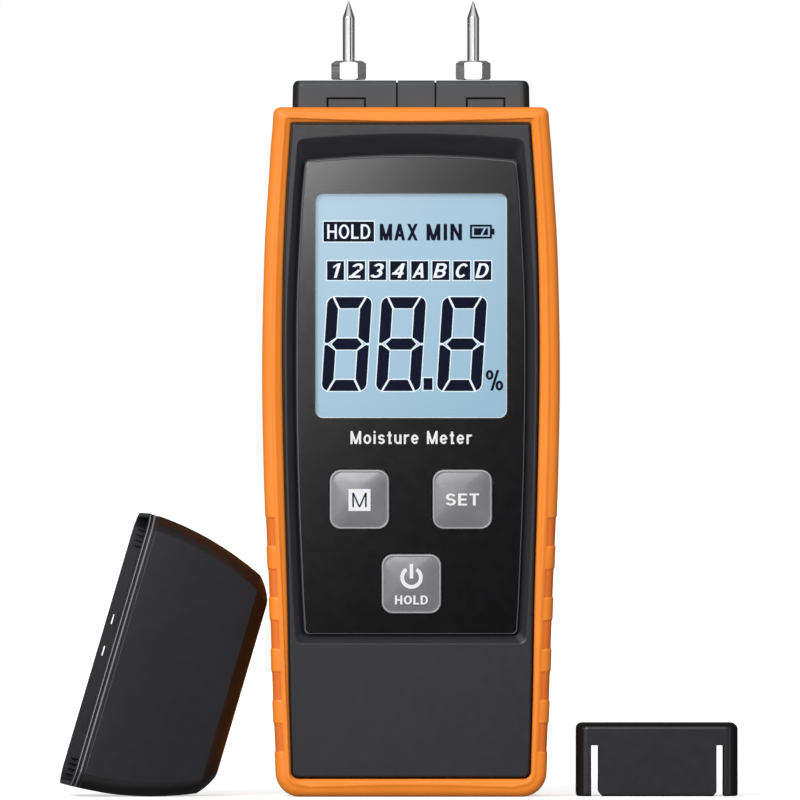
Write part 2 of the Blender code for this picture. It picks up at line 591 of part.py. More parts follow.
def make_keys():
    flange = KEY_SIZE / 2 + KEY_FLANGE
    half_switch = SWITCH_SIZE / 2
    for key, (x, z) in KEY_PLACES.items():
        axis = parent_empty(f"{key}_key_axis", (x, KEY_FRONT_Y, z))
        outline = rounded(x, z, KEY_SIZE, KEY_SIZE, KEY_R)
        cap = prism_y(f"{key}_key", outline, KEY_FRONT_Y, KEY_BACK_Y, "key_plastic")
        round_edges(cap, KEY_EDGE_R, 2, 60.0)
        unite(cap, block(f"{key}_key_flange", (x - flange, KEY_BACK_Y - 0.7 * MM, z - flange),
                         (x + flange, KEY_BACK_Y + 0.1 * MM, z + flange)))
        unite(cap, rod(f"{key}_key_plunger", PLUNGER_R, (x, KEY_BACK_Y - 0.4 * MM, z),
                       (x, SWITCH_TOP_Y - KEY_TRAVEL - GAP, z), segments=16))
        smooth(cap)
        cap.parent = axis
        cap.matrix_parent_inverse = Matrix.Translation((-x, -KEY_FRONT_Y, -z))
        case = block(f"{key}_switch", (x - half_switch, SWITCH_TOP_Y + 0.8 * MM, z - half_switch),
                     (x + half_switch, BOARD_FRONT_Y - GAP, z + half_switch), "chip_plastic")
        unite(case, rod(f"{key}_switch_button", SWITCH_BUTTON_R, (x, SWITCH_TOP_Y, z),
                        (x, BOARD_FRONT_Y - 1 * MM, z), segments=16))


# ---------------------------------------------------------------- electronics
def make_electronics():
    board = block("main_board", (-BOARD_HALF_W, BOARD_FRONT_Y, BOARD_LOW),
                  (BOARD_HALF_W, BOARD_BACK_Y, BOARD_HIGH), "board")
    shank = 6.1 * MM
    screw_profile = [(0.8 * MM, 0.0), (0.8 * MM, shank), (2.0 * MM, shank), (2.0 * MM, shank + 0.9 * MM),
                     (1.2 * MM, shank + 1.4 * MM)]
    top = BOARD_BACK_Y + GAP
    for side, (x, z) in BOARD_SCREWS.items():
        cut(board, rod(f"board_hole_{side}", 1.3 * MM, (x, KEY_BACK_Y, z), (x, CUT_OVER, z), segments=12))
        smooth(turned(f"board_screw_{side}", screw_profile, (x, top - shank, z), (0, 1, 0), "spring_steel", 12))
    block("controller_chip", (-6 * MM, top, 88 * MM), (6 * MM, top + 1.4 * MM, 100 * MM), "chip_plastic")
    can = block("crystal_can", (9.5 * MM, top, 90 * MM), (12.9 * MM, top + 2.8 * MM, 99 * MM), "can_metal")
    round_edges(can, 0.8 * MM)
    buzzer_profile = [(6.0 * MM, 0.0), (6.0 * MM, 5.6 * MM), (5.4 * MM, 6.2 * MM), (1.1 * MM, 6.2 * MM),
                      (1.1 * MM, 5.0 * MM)]
    smooth(turned("buzzer", buzzer_profile, (-10 * MM, top, 112 * MM), (0, 1, 0), "chip_plastic", 20))


# ---------------------------------------------------------------- probe end
def make_terminal_block():
    base_z = BODY_TOP - BUMPER_WALL
    rings = []
    for z, narrower in ((base_z, 0.0), (BLOCK_TOP - BLOCK_EDGE, 0.25 * MM), (BLOCK_TOP, BLOCK_EDGE)):
        x, y = BLOCK_HALF_W - narrower, BLOCK_HALF_D - narrower
        outline = rounded(0.0, 0.0, 2 * x, 2 * y, BLOCK_CORNER_R, 3)
        rings.append([(px, py, z) for px, py in outline])
    made = loft("terminal_block", rings, "block_plastic")
    unite(made, block("block_neck", (-NECK_HALF_W, -NECK_HALF_D, NECK_LOW),
                      (NECK_HALF_W, NECK_HALF_D, base_z + ROOT)))
    cut_y = -BLOCK_HALF_D + SEAM_DEEP
    for low_x in LATCH_WINDOWS:
        cut(made, block(f"latch_{low_x > 0}", (low_x, FAR_FRONT_Y, LATCH_LOW),
                        (low_x + LATCH_W, cut_y, LATCH_HIGH)))
    for x in BLOCK_SEAMS:
        cut(made, block(f"seam_{x > 0}", (x - SEAM_W / 2, FAR_FRONT_Y, BODY_TOP - 1 * MM),
                        (x + SEAM_W / 2, cut_y, BLOCK_TOP + CUT_OVER)))
    for side in (-1, 1):
        x = side * PIN_PITCH / 2
        cut(made, rod(f"stud_bore_{side > 0}", STUD_BORE_R, (x, 0, NECK_LOW - CUT_OVER),
                      (x, 0, BLOCK_TOP + CUT_OVER), segments=20))
    return smooth(made)


def make_probes():
    """Per side: a brass stud through the block, a hex collar on it, and the pin in the collar."""
    for side, name in ((-1, "left"), (1, "right")):
        x = side * PIN_PITCH / 2
        nut_low, nut_high = NECK_LOW - 1.6 * MM, NECK_LOW - GAP
        stud = [(1.0 * MM, nut_low - 1 * MM), (1.0 * MM, nut_low), (3.2 * MM, nut_low), (3.2 * MM, nut_high),
                (STUD_BORE_R - GAP, nut_high), (STUD_BORE_R - GAP, BLOCK_TOP - 0.2 * MM)]
        smooth(turned(f"probe_stud_{name}", stud, (x, 0, 0), (0, 0, 1), "brass", 16))
        corner = COLLAR_ACROSS_CORNERS / 2
        low, high = BLOCK_TOP + GAP, COLLAR_TOP
        profile = [(corner - 0.4 * MM, low), (corner, low + 0.4 * MM), (corner, high - 0.6 * MM),
                   (corner - 0.8 * MM, high)]
        collar = turned(f"probe_collar_{name}", profile, (x, 0, 0), (0, 0, 1), "bright_steel", 6)
        cut(collar, rod(f"collar_bore_{name}", PIN_R + GAP, (x, 0, low - CUT_OVER), (x, 0, high + CUT_OVER),
                        segments=20))
        pin = [(PIN_R, BLOCK_TOP + GAP), (PIN_R, PIN_TAPER_Z), (0.12 * MM, PIN_TIP_Z)]
        smooth(turned(f"probe_pin_{name}", pin, (x, 0, 0), (0, 0, 1), "bright_steel", 20))
        route = [(x, 0.0, 129.6 * MM), (x * 0.97, 0.2 * MM, 127.6 * MM), (x * 0.9, -0.9 * MM, 125.2 * MM),
                 (x * 0.85, -1.9 * MM, 122.6 * MM), (x * 0.85, -2.0 * MM, 120.6 * MM)]
        wire(f"sense_lead_{name}", route, LEAD_R, "lead_red" if side > 0 else "lead_black")


# ---------------------------------------------------------------- battery compartment
def spring_points(x, start_z, end_z):
    """A conical coil that narrows towards end_z."""
    turns, steps = 3.5, 36
    points = []
    for i in range(steps + 1):
        t = i / steps
        radius = (3.6 - 1.6 * t) * MM
        angle = 2 * math.pi * turns * t
        points.append((x + radius * math.cos(angle), CELL_Y + radius * math.sin(angle),
                       start_z + (end_z - start_z) * t))
    return points


def coil(name, points, radius):
    curve = bpy.data.curves.new(name, "CURVE")
    curve.dimensions = "3D"
    curve.bevel_depth = radius
    curve.bevel_resolution = 1
    curve.use_fill_caps = True
    spline = curve.splines.new("POLY")
    spline.points.add(len(points) - 1)
    for place, point in zip(spline.points, points):
        place.co = (*point, 1.0)
    curve.materials.append(MATERIALS["spring_steel"])
    made = bpy.data.objects.new(name, curve)
    bpy.context.scene.collection.objects.link(made)


def make_batteries():
    """Three cells in series, head to tail, between plates at the two ends of the pocket."""
    lower_plate, upper_plate = POCKET_LOW + GAP, POCKET_HIGH - GAP - PLATE_THICK
    room_low, room_high = lower_plate + PLATE_THICK + GAP, upper_plate - GAP
    profile = [(4.6 * MM, 0.0), (5.0 * MM, 0.3 * MM), (CELL_R, 0.8 * MM), (CELL_R, CELL_LENGTH - 1.5 * MM),
               (4.9 * MM, CELL_LENGTH - 1.0 * MM), (1.9 * MM, CELL_LENGTH - 0.9 * MM), (1.8 * MM, CELL_LENGTH)]
    for index in range(3):
        x = (index - 1) * CELL_PITCH
        nub_up = index != 1
        start = room_high - GAP - CELL_LENGTH if nub_up else room_low + GAP
        origin = (x, CELL_Y, start if nub_up else start + CELL_LENGTH)
        smooth(turned(f"battery_cell_{index + 1}", profile, origin, (0, 0, 1 if nub_up else -1), "cell_wrap"))
        if nub_up:
            points = spring_points(x, room_low + SPRING_WIRE_R, start - GAP - SPRING_WIRE_R)
        else:
            points = spring_points(x, room_high - SPRING_WIRE_R, start + CELL_LENGTH + GAP + SPRING_WIRE_R)
        coil(f"battery_spring_{index + 1}", points, SPRING_WIRE_R)
    front, back = CELL_Y - PLATE_HALF_D, CELL_Y + PLATE_HALF_D
    split = CELL_PITCH / 2
    edge = POCKET_HALF_W - GAP
    plates = {"contact_plate_lower_single": (-edge, -split - GAP, lower_plate),
              "contact_plate_lower_pair": (-split + GAP, edge, lower_plate),
              "contact_plate_upper_pair": (-edge, split - GAP, upper_plate),
              "contact_plate_upper_single": (split + GAP, edge, upper_plate)}
    for name, (left, right, z) in plates.items():
        block(name, (left, front, z), (right, back, z + PLATE_THICK), "spring_steel")
    for side, name in ((-1, "black"), (1, "red")):
        start_z = POCKET_HIGH + POCKET_WALL + GAP
        route = [(side * 11 * MM, 3.0 * MM, start_z), (side * 11.5 * MM, 2.6 * MM, start_z + 2.6 * MM),
                 (side * 13 * MM, 0.2 * MM, start_z + 5 * MM), (side * 14 * MM, -1.9 * MM, start_z + 7.5 * MM),
                 (side * 14 * MM, -2.0 * MM, start_z + 9.5 * MM)]
        wire(f"battery_lead_{name}", route, LEAD_R, f"lead_{name}")


# ---------------------------------------------------------------- fasteners and label
def make_case_screws():
    shank = SCREW_HEAD_Y - SCREW_TIP_Y
    profile = [(SCREW_R - 0.1 * MM, 0.0), (SCREW_R, 0.6 * MM), (SCREW_R, shank), (SCREW_HEAD_R, shank),
               (SCREW_HEAD_R, shank + SCREW_HEAD_H - 0.7 * MM), (SCREW_HEAD_R - 0.8 * MM, shank + SCREW_HEAD_H)]
    long_arm, short_arm = 1.3 * MM, 0.28 * MM
    for place, (x, z) in SCREW_PLACES.items():
        screw = turned(f"case_screw_{place}", profile, (x, SCREW_TIP_Y, z), (0, 1, 0), "screw_steel", 16)
        for turn, (half_x, half_z) in enumerate(((long_arm, short_arm), (short_arm, long_arm))):
            cut(screw, block(f"cross_{place}_{turn}", (x - half_x, SCREW_HEAD_Y + 1 * MM, z - half_z),
                             (x + half_x, CASE_HALF_DEPTH, z + half_z)))
        smooth(screw)


def make_label():
    outline = rounded(*LABEL_PLACE, LABEL_W, LABEL_H, 1.2 * MM)
    back = CASE_HALF_DEPTH - LABEL_SUNK + GAP
    prism_y("rear_label", outline, back, back + 0.25 * MM, "label_paper")


# ---------------------------------------------------------------- loose pieces
def cap_ring(share, shrink, radius):
    """One closed ring of the cap: share runs from 0 at the mouth to 1 at the closed end."""
    bulge = 4 * share * (1 - share)
    half_x = CAP_MOUTH[0] + (CAP_END[0] - CAP_MOUTH[0]) * share + CAP_BOW * bulge - shrink
    half_y = CAP_MOUTH[1] + (CAP_END[1] - CAP_MOUTH[1]) * share + CAP_BOW * bulge / 3 - shrink
    height = share * CAP_HEIGHT
    return [(x, y, height) for x, y in rounded(0.0, 0.0, 2 * half_x, 2 * half_y, radius, 4)]


def make_cap():
    """A tapered hollow cap, open at its mouth, lying tipped on its side against the meter."""
    shape = [cap_ring(share, 0.0, CAP_CORNER_R) for share in (0.0, 0.18, 0.36, 0.54, 0.72, 0.91)]
    shape.append(cap_ring(0.97, 0.8 * MM, CAP_CORNER_R - 0.4 * MM))
    shape.append(cap_ring(1.0, 2.4 * MM, CAP_CORNER_R - 1.0 * MM))
    cap = loft("protective_cap", shape, "cap_plastic")
    levels = (-0.05, 0.18, 0.36, 0.54, 0.72, 0.93)
    inside = loft("cap_inside", [cap_ring(share, CAP_WALL, CAP_CORNER_R - 1.0 * MM) for share in levels])
    lip = loft("cap_lip", [cap_ring(share, CAP_LIP_WALL, CAP_CORNER_R - 0.5 * MM) for share in (-0.05, 0.08)])
    cut(cap, inside, lip)
    smooth(cap)
    turn = Euler((0.0, CAP_TURN, CAP_YAW), "XYZ").to_matrix()
    places = [turn @ vertex.co for vertex in cap.data.vertices]
    lowest = min(place.z for place in places)
    tip = max(places, key=lambda place: place.x)
    touch = half_width(RIM_OUTSIDE, tip.z - lowest) + GAP
    spot = Matrix.Translation((-touch - tip.x, CAP_Y, -lowest)) @ turn.to_4x4()
    for piece in (cap, inside, lip):
        piece.matrix_world = spot


def make_pin_guard():
    """A small block with two slotted sockets at the pitch of the pins, standing on its open side."""
    half = GUARD_WIDTH / 2
    shoulder = half - GUARD_TOP_R
    right = [(half - GUARD_FOOT_R, 0.0), (half, GUARD_FOOT_R)]
    right += arc((shoulder, GUARD_HEIGHT - GUARD_CROWN - GUARD_TOP_R), GUARD_TOP_R, 0, 90, 4)
    right.append((shoulder / 2, GUARD_HEIGHT - GUARD_CROWN / 4))
    outline = right + [(0.0, GUARD_HEIGHT)] + [(-x, z) for x, z in reversed(right)]
    guard = prism_y("pin_guard", [(x + GUARD_CENTRE_X, z) for x, z in outline], -GUARD_DEPTH / 2,
                    GUARD_DEPTH / 2, "cap_plastic")
    round_edges(guard, GUARD_EDGE_R, 2, 60.0)
    for side in (-1, 1):
        x = GUARD_CENTRE_X + side * GUARD_SLOT_PITCH / 2
        cut(guard, block(f"guard_slot_{side > 0}", (x - GUARD_SLOT_W / 2, FAR_FRONT_Y, -CUT_OVER),
                         (x + GUARD_SLOT_W / 2, FAR_BACK_Y, GUARD_SLOT_H)))
        cut(guard, rod(f"guard_socket_{side > 0}", GUARD_SOCKET_R, (x, 0, -CUT_OVER),
                       (x, 0, GUARD_SLOT_H + 1 * MM), segments=16))
    return smooth(guard)


# ---------------------------------------------------------------- assembly
clear_scene()
MATERIALS = {name: material(name, *look) for name, look in COLOURS.items()}
make_bumper()
make_front_housing()
make_rear_housing()
make_battery_door()
make_panel()
make_display()
make_keys()
make_electronics()
make_terminal_block()
make_probes()
make_batteries()
make_case_screws()
make_label()
make_cap()
make_pin_guard()
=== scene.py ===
"""Looks of the pin-type moisture meter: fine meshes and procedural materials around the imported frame.

Sizes are in millimetres up to the point where a mesh is made, and the studio is in metres.
+Z is up along the meter and -Y is the side with the display.
"""

import math

import bmesh
import bpy
from mathutils import Euler, Matrix, Vector


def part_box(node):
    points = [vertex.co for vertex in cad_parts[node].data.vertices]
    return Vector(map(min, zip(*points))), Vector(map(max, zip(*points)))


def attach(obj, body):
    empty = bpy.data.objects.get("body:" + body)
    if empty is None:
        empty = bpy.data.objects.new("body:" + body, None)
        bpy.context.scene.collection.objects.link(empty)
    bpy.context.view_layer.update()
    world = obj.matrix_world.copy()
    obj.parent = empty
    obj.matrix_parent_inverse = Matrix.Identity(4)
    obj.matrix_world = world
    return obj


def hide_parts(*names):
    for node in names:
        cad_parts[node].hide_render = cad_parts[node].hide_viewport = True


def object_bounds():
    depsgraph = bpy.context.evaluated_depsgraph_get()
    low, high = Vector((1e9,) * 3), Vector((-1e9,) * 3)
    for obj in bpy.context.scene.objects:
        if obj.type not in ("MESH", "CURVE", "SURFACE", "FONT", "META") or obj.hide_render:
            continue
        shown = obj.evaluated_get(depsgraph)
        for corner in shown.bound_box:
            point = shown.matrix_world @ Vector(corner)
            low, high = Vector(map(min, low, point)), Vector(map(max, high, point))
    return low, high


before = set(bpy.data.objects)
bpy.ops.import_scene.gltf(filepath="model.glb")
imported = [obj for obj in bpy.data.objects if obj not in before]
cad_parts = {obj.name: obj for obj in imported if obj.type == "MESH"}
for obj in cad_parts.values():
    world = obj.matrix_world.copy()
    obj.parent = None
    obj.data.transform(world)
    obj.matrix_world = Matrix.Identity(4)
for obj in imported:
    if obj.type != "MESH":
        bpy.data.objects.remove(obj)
CAD_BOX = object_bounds()

MM = 0.001


# ---------------------------------------------------------------- places taken from the frame
def box_mm(node):
    low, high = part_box(node)
    return low / MM, high / MM


def middle(node):
    """The middle of a node's box, seen from the front, as (x, z)."""
    low, high = box_mm(node)
    return (low.x + high.x) / 2, (low.z + high.z) / 2


BUMPER = box_mm("bumper")
BODY_TOP = BUMPER[1].z
HALF_DEPTH = BUMPER[1].y
CASE_Y = box_mm("rear_housing")[1].y
PANEL = box_mm("overlay_panel")
WINDOW = box_mm("display_window")
LCD = box_mm("lcd_glass")
BLOCK = box_mm("terminal_block")
LABEL = box_mm("rear_label")
DOOR = box_mm("battery_door")
GUARD = box_mm("pin_guard")
CAP = box_mm("protective_cap")
KEYS = {name: middle(f"{name}_key") for name in ("mode", "set", "power")}
SCREWS = {f"{row}_{side}": middle(f"case_screw_{row}_{side}") for row in ("upper", "lower")
          for side in ("left", "right")}
PROBES = {name: middle(f"probe_pin_{name}")[0] for name in ("left", "right")}
CELLS = (1, 2, 3)

# ---------------------------------------------------------------- sizes that the looks add
GAP = 0.3
# Cutters start or end on these planes, in front of the case and behind it.
IN_FRONT = -15.0
BEHIND = 20.0

# Half widths by height: bumper outside, opening inside its lips, recess, panel.
RIM_OUTSIDE = [(0.0, 27.0), (20.0, 27.8), (40.0, 28.5), (60.0, 29.35), (85.0, 29.8), (110.0, 29.3),
               (130.0, 28.1), (138.0, 27.5)]
RIM_INSIDE = [(0.0, 23.9), (20.0, 24.4), (40.0, 24.75), (60.0, 25.3), (85.0, 25.75), (105.0, 25.6),
              (120.0, 25.0), (138.0, 23.9)]
RECESS_EDGE = [(28.0, 22.8), (40.0, 23.4), (60.0, 24.2), (80.0, 24.6), (100.0, 24.5), (120.0, 23.4),
               (134.0, 22.4)]
PANEL_EDGE = [(28.0, 21.0), (40.0, 21.6), (60.0, 22.4), (80.0, 22.8), (100.0, 22.7), (120.0, 21.7),
              (134.0, 20.5)]

BUMPER_WALL = 2.0
LIP_BOTTOM = 3.6
LIP_TOP = 134.9
GRIPS = [11.9 + 10.3 * i for i in range(5)]
GRIP_LENGTH = 5.8
GRIP_DEPTH = 0.18
# The top edges of the recess and the panel rise by the crown from their ends to the middle.
CROWN = 1.0
RECESS_LOW, RECESS_HIGH = 30.8, 131.2
PANEL_LOW, PANEL_HIGH = PANEL[0].z, PANEL[1].z - CROWN
# The lands, the bosses and the pocket end at this depth, inside the front and rear walls.
IN_WALL = 11.0
POCKET_LOW, POCKET_HIGH = Vector((-17.2, -0.9, 12.0)), Vector((17.2, BEHIND, 64.2))
POCKET_WALL = 1.5
DOOR_LOW = 10.2
HOOKS = (-10.0, 10.0)
KEY_SIZE = 12.0
KEY_R = 2.3
KEY_DOME = 0.38
KEY_FRONT = -13.98
# Crossing strokes lie on a few levels, one layer apart.
LAYER = 0.002
LAYERS = 7
INK_THICK = 0.03
# Left edges of the latch windows, and the seam lines between them.
LATCHES = (-16.9, 11.0)
LATCH_WIDTH = 7.9
SEAMS = (-2.8, 4.9)
SEAM_HALF = 0.16
# Half sizes of the cap at its mouth and at its closed end, in the cap's own frame.
CAP_MOUTH = (28.4, 13.6)
CAP_END = (21.4, 11.4)
# How far the cap's long sides bow out at mid height.
CAP_BOW = 1.7
CAP_HEIGHT = 28.0
CAP_CORNER = 3.0
CAP_WALL = 1.8
CAP_Y = -1.5
CAP_TURN = Euler((0.0, math.radians(106.5), math.radians(6.8)), "XYZ").to_matrix()
CREASE_DEGREES = 27.0
# From the guard's middle to each of its slots.
GUARD_SLOT_X = 12.55

BACKLIGHT = 0.75
# The display's colour runs from painted shade at the bottom right to painted light at the top left.
LCD_PAINTED_SHADE = (0.200, 0.330, 0.425)
LCD_PAINTED_LIGHT = (0.270, 0.388, 0.476)
WORLD_LIGHT = 0.46
WORLD_BELOW = 0.26
WORLD_BEHIND = 1.15
GLOSS_FRONT = 1.0
GLOSS_BACK = 0.10
FLOOR_GLOW = 0.57


# ---------------------------------------------------------------- materials
MATS = {}


def principled(name, colour, roughness, metallic=0.0, **sockets):
    """Makes a material and keeps it in MATS under the name it is asked for by."""
    made = bpy.data.materials.new(name)
    made.use_nodes = True
    shader = made.node_tree.nodes["Principled BSDF"]
    shader.inputs["Base Color"].default_value = (*colour, 1.0)
    shader.inputs["Roughness"].default_value = roughness
    shader.inputs["Metallic"].default_value = metallic
    for key, value in sockets.items():
        shader.inputs[key.replace("_", " ")].default_value = value
    made.diffuse_color = (*colour, 1.0)
    MATS[name] = made
    return made, shader


def add_node(tree, kind, **sockets):
    node = tree.nodes.new(kind)
    for key, value in sockets.items():
        node.inputs[key.replace("_", " ")].default_value = value
    return node


def noise(made, size, detail=2.0, stretch=(1.0, 1.0, 1.0)):
    """A noise in object coordinates whose features are about size millimetres across."""
    tree = made.node_tree
    mapping = add_node(tree, "ShaderNodeMapping", Scale=stretch)
    texture = add_node(tree, "ShaderNodeTexNoise", Scale=1.0 / (size * MM), Detail=detail)
    tree.links.new(add_node(tree, "ShaderNodeTexCoord").outputs["Object"], mapping.inputs["Vector"])
    tree.links.new(mapping.outputs["Vector"], texture.inputs["Vector"])
    return texture.outputs["Fac"]


def map_range(tree, value, given, wanted):
    """Maps a value from one range to another; each end of a range is a number or a socket."""
    node = tree.nodes.new("ShaderNodeMapRange")
    for name, end in zip(("From Min", "From Max", "To Min", "To Max"), (*given, *wanted)):
        if isinstance(end, float):
            node.inputs[name].default_value = end
        else:
            tree.links.new(end, node.inputs[name])
    tree.links.new(value, node.inputs["Value"])
    return node.outputs["Result"]


def spread(made, factor, low, high):
    """Spreads a noise over the range from low to high."""
    return map_range(made.node_tree, factor, (0.3, 0.7), (low, high))


def blend_colours(made, factor, low, high, start=0.3, end=0.7):
    ramp = made.node_tree.nodes.new("ShaderNodeValToRGB")
    for element, position, colour in zip(ramp.color_ramp.elements, (start, end), (low, high)):
        element.position = position
        element.color = (*colour, 1.0)
    made.node_tree.links.new(factor, ramp.inputs["Fac"])
    return ramp.outputs["Color"]


def bump(made, shader, height, depth):
    node = add_node(made.node_tree, "ShaderNodeBump", Strength=1.0, Distance=depth * MM)
    made.node_tree.links.new(height, node.inputs["Height"])
    made.node_tree.links.new(node.outputs["Normal"], shader.inputs["Normal"])


def moulded(name, colour, roughness, grain=0.25, depth=0.004, mottle=0.06, vary=0.05, **sockets):
    """Moulded plastic, rubber or film: a fine grain, slight mottling and uneven gloss."""
    made, shader = principled(name, colour, roughness, **sockets)
    links = made.node_tree.links
    low = tuple(c * (1 - mottle) for c in colour)
    high = tuple(min(1.0, c * (1 + mottle)) for c in colour)
    links.new(blend_colours(made, noise(made, 9.0, 3.0), low, high), shader.inputs["Base Color"])
    links.new(spread(made, noise(made, 2.0), roughness - vary, roughness + vary), shader.inputs["Roughness"])
    bump(made, shader, noise(made, grain, 3.0), depth)


def machined(name, colour, roughness, axis, line=0.12, depth=0.0012):
    """Turned or brushed metal with fine lines across the given axis."""
    made, shader = principled(name, colour, roughness, 1.0)
    links = made.node_tree.links
    stretch = [1.0 if letter == axis else 0.02 for letter in "XYZ"]
    lines = noise(made, line, 2.0, stretch)
    links.new(spread(made, lines, roughness * 0.75, roughness * 1.3), shader.inputs["Roughness"])
    links.new(blend_colours(made, noise(made, 3.0), tuple(c * 0.93 for c in colour), colour),
              shader.inputs["Base Color"])
    bump(made, shader, lines, depth)


def display_material():
    """Backlit display that glows, coloured with painted light at the top left and painted shade towards the
    bottom right.
    """
    made, shader = principled("lcd_light", (0.50, 0.66, 0.79), 0.35, Emission_Strength=BACKLIGHT)
    tree = made.node_tree
    split = tree.nodes.new("ShaderNodeSeparateXYZ")
    tree.links.new(tree.nodes.new("ShaderNodeTexCoord").outputs["Object"], split.inputs["Vector"])
    upward = map_range(tree, split.outputs["Z"], (LCD[0].z * MM, LCD[1].z * MM), (0.0, 0.5))
    leftward = map_range(tree, split.outputs["X"], (LCD[1].x * MM, LCD[0].x * MM), (0.0, 0.5))
    total = tree.nodes.new("ShaderNodeMath")
    tree.links.new(upward, total.inputs[0])
    tree.links.new(leftward, total.inputs[1])
    # Painted light at the top left fading to painted shade at the bottom right, in both the colour and its
    # glow.
    colour = blend_colours(made, total.outputs["Value"], LCD_PAINTED_SHADE, LCD_PAINTED_LIGHT, 0.1, 0.9)
    tree.links.new(colour, shader.inputs["Base Color"])
    tree.links.new(colour, shader.inputs["Emission Color"])
    bump(made, shader, noise(made, 0.12), 0.0006)


def clear_window():
    made, shader = principled("clear_window", (0.02, 0.02, 0.025), 0.06, Alpha=0.05, IOR=1.49)
    made.node_tree.links.new(spread(made, noise(made, 6.0), 0.05, 0.08), shader.inputs["Roughness"])


def circuit_board():
    """Green solder mask over faint copper tracks."""
    made, shader = principled("solder_mask", (0.02, 0.16, 0.07), 0.35)
    tree = made.node_tree
    tracks = add_node(tree, "ShaderNodeTexBrick", Scale=400.0, Mortar_Size=0.03,
                      Mortar=(0.05, 0.26, 0.12, 1.0), Color1=(0.018, 0.15, 0.06, 1.0),
                      Color2=(0.022, 0.18, 0.08, 1.0))
    upright = add_node(tree, "ShaderNodeMapping", Rotation=(math.pi / 2, 0.0, 0.0))
    tree.links.new(tree.nodes.new("ShaderNodeTexCoord").outputs["Object"], upright.inputs["Vector"])
    tree.links.new(upright.outputs["Vector"], tracks.inputs["Vector"])
    tree.links.new(tracks.outputs["Color"], shader.inputs["Base Color"])
    tree.links.new(spread(made, noise(made, 2.0), 0.28, 0.42), shader.inputs["Roughness"])


def cell_wrap():
    """Printed wrap of a cell, in dark blue."""
    made, shader = principled("cell_wrap", (0.03, 0.06, 0.14), 0.25)
    links = made.node_tree.links
    low, high = (0.026, 0.05, 0.12), (0.035, 0.07, 0.16)
    links.new(blend_colours(made, noise(made, 2.5), low, high), shader.inputs["Base Color"])
    links.new(spread(made, noise(made, 1.0), 0.2, 0.32), shader.inputs["Roughness"])


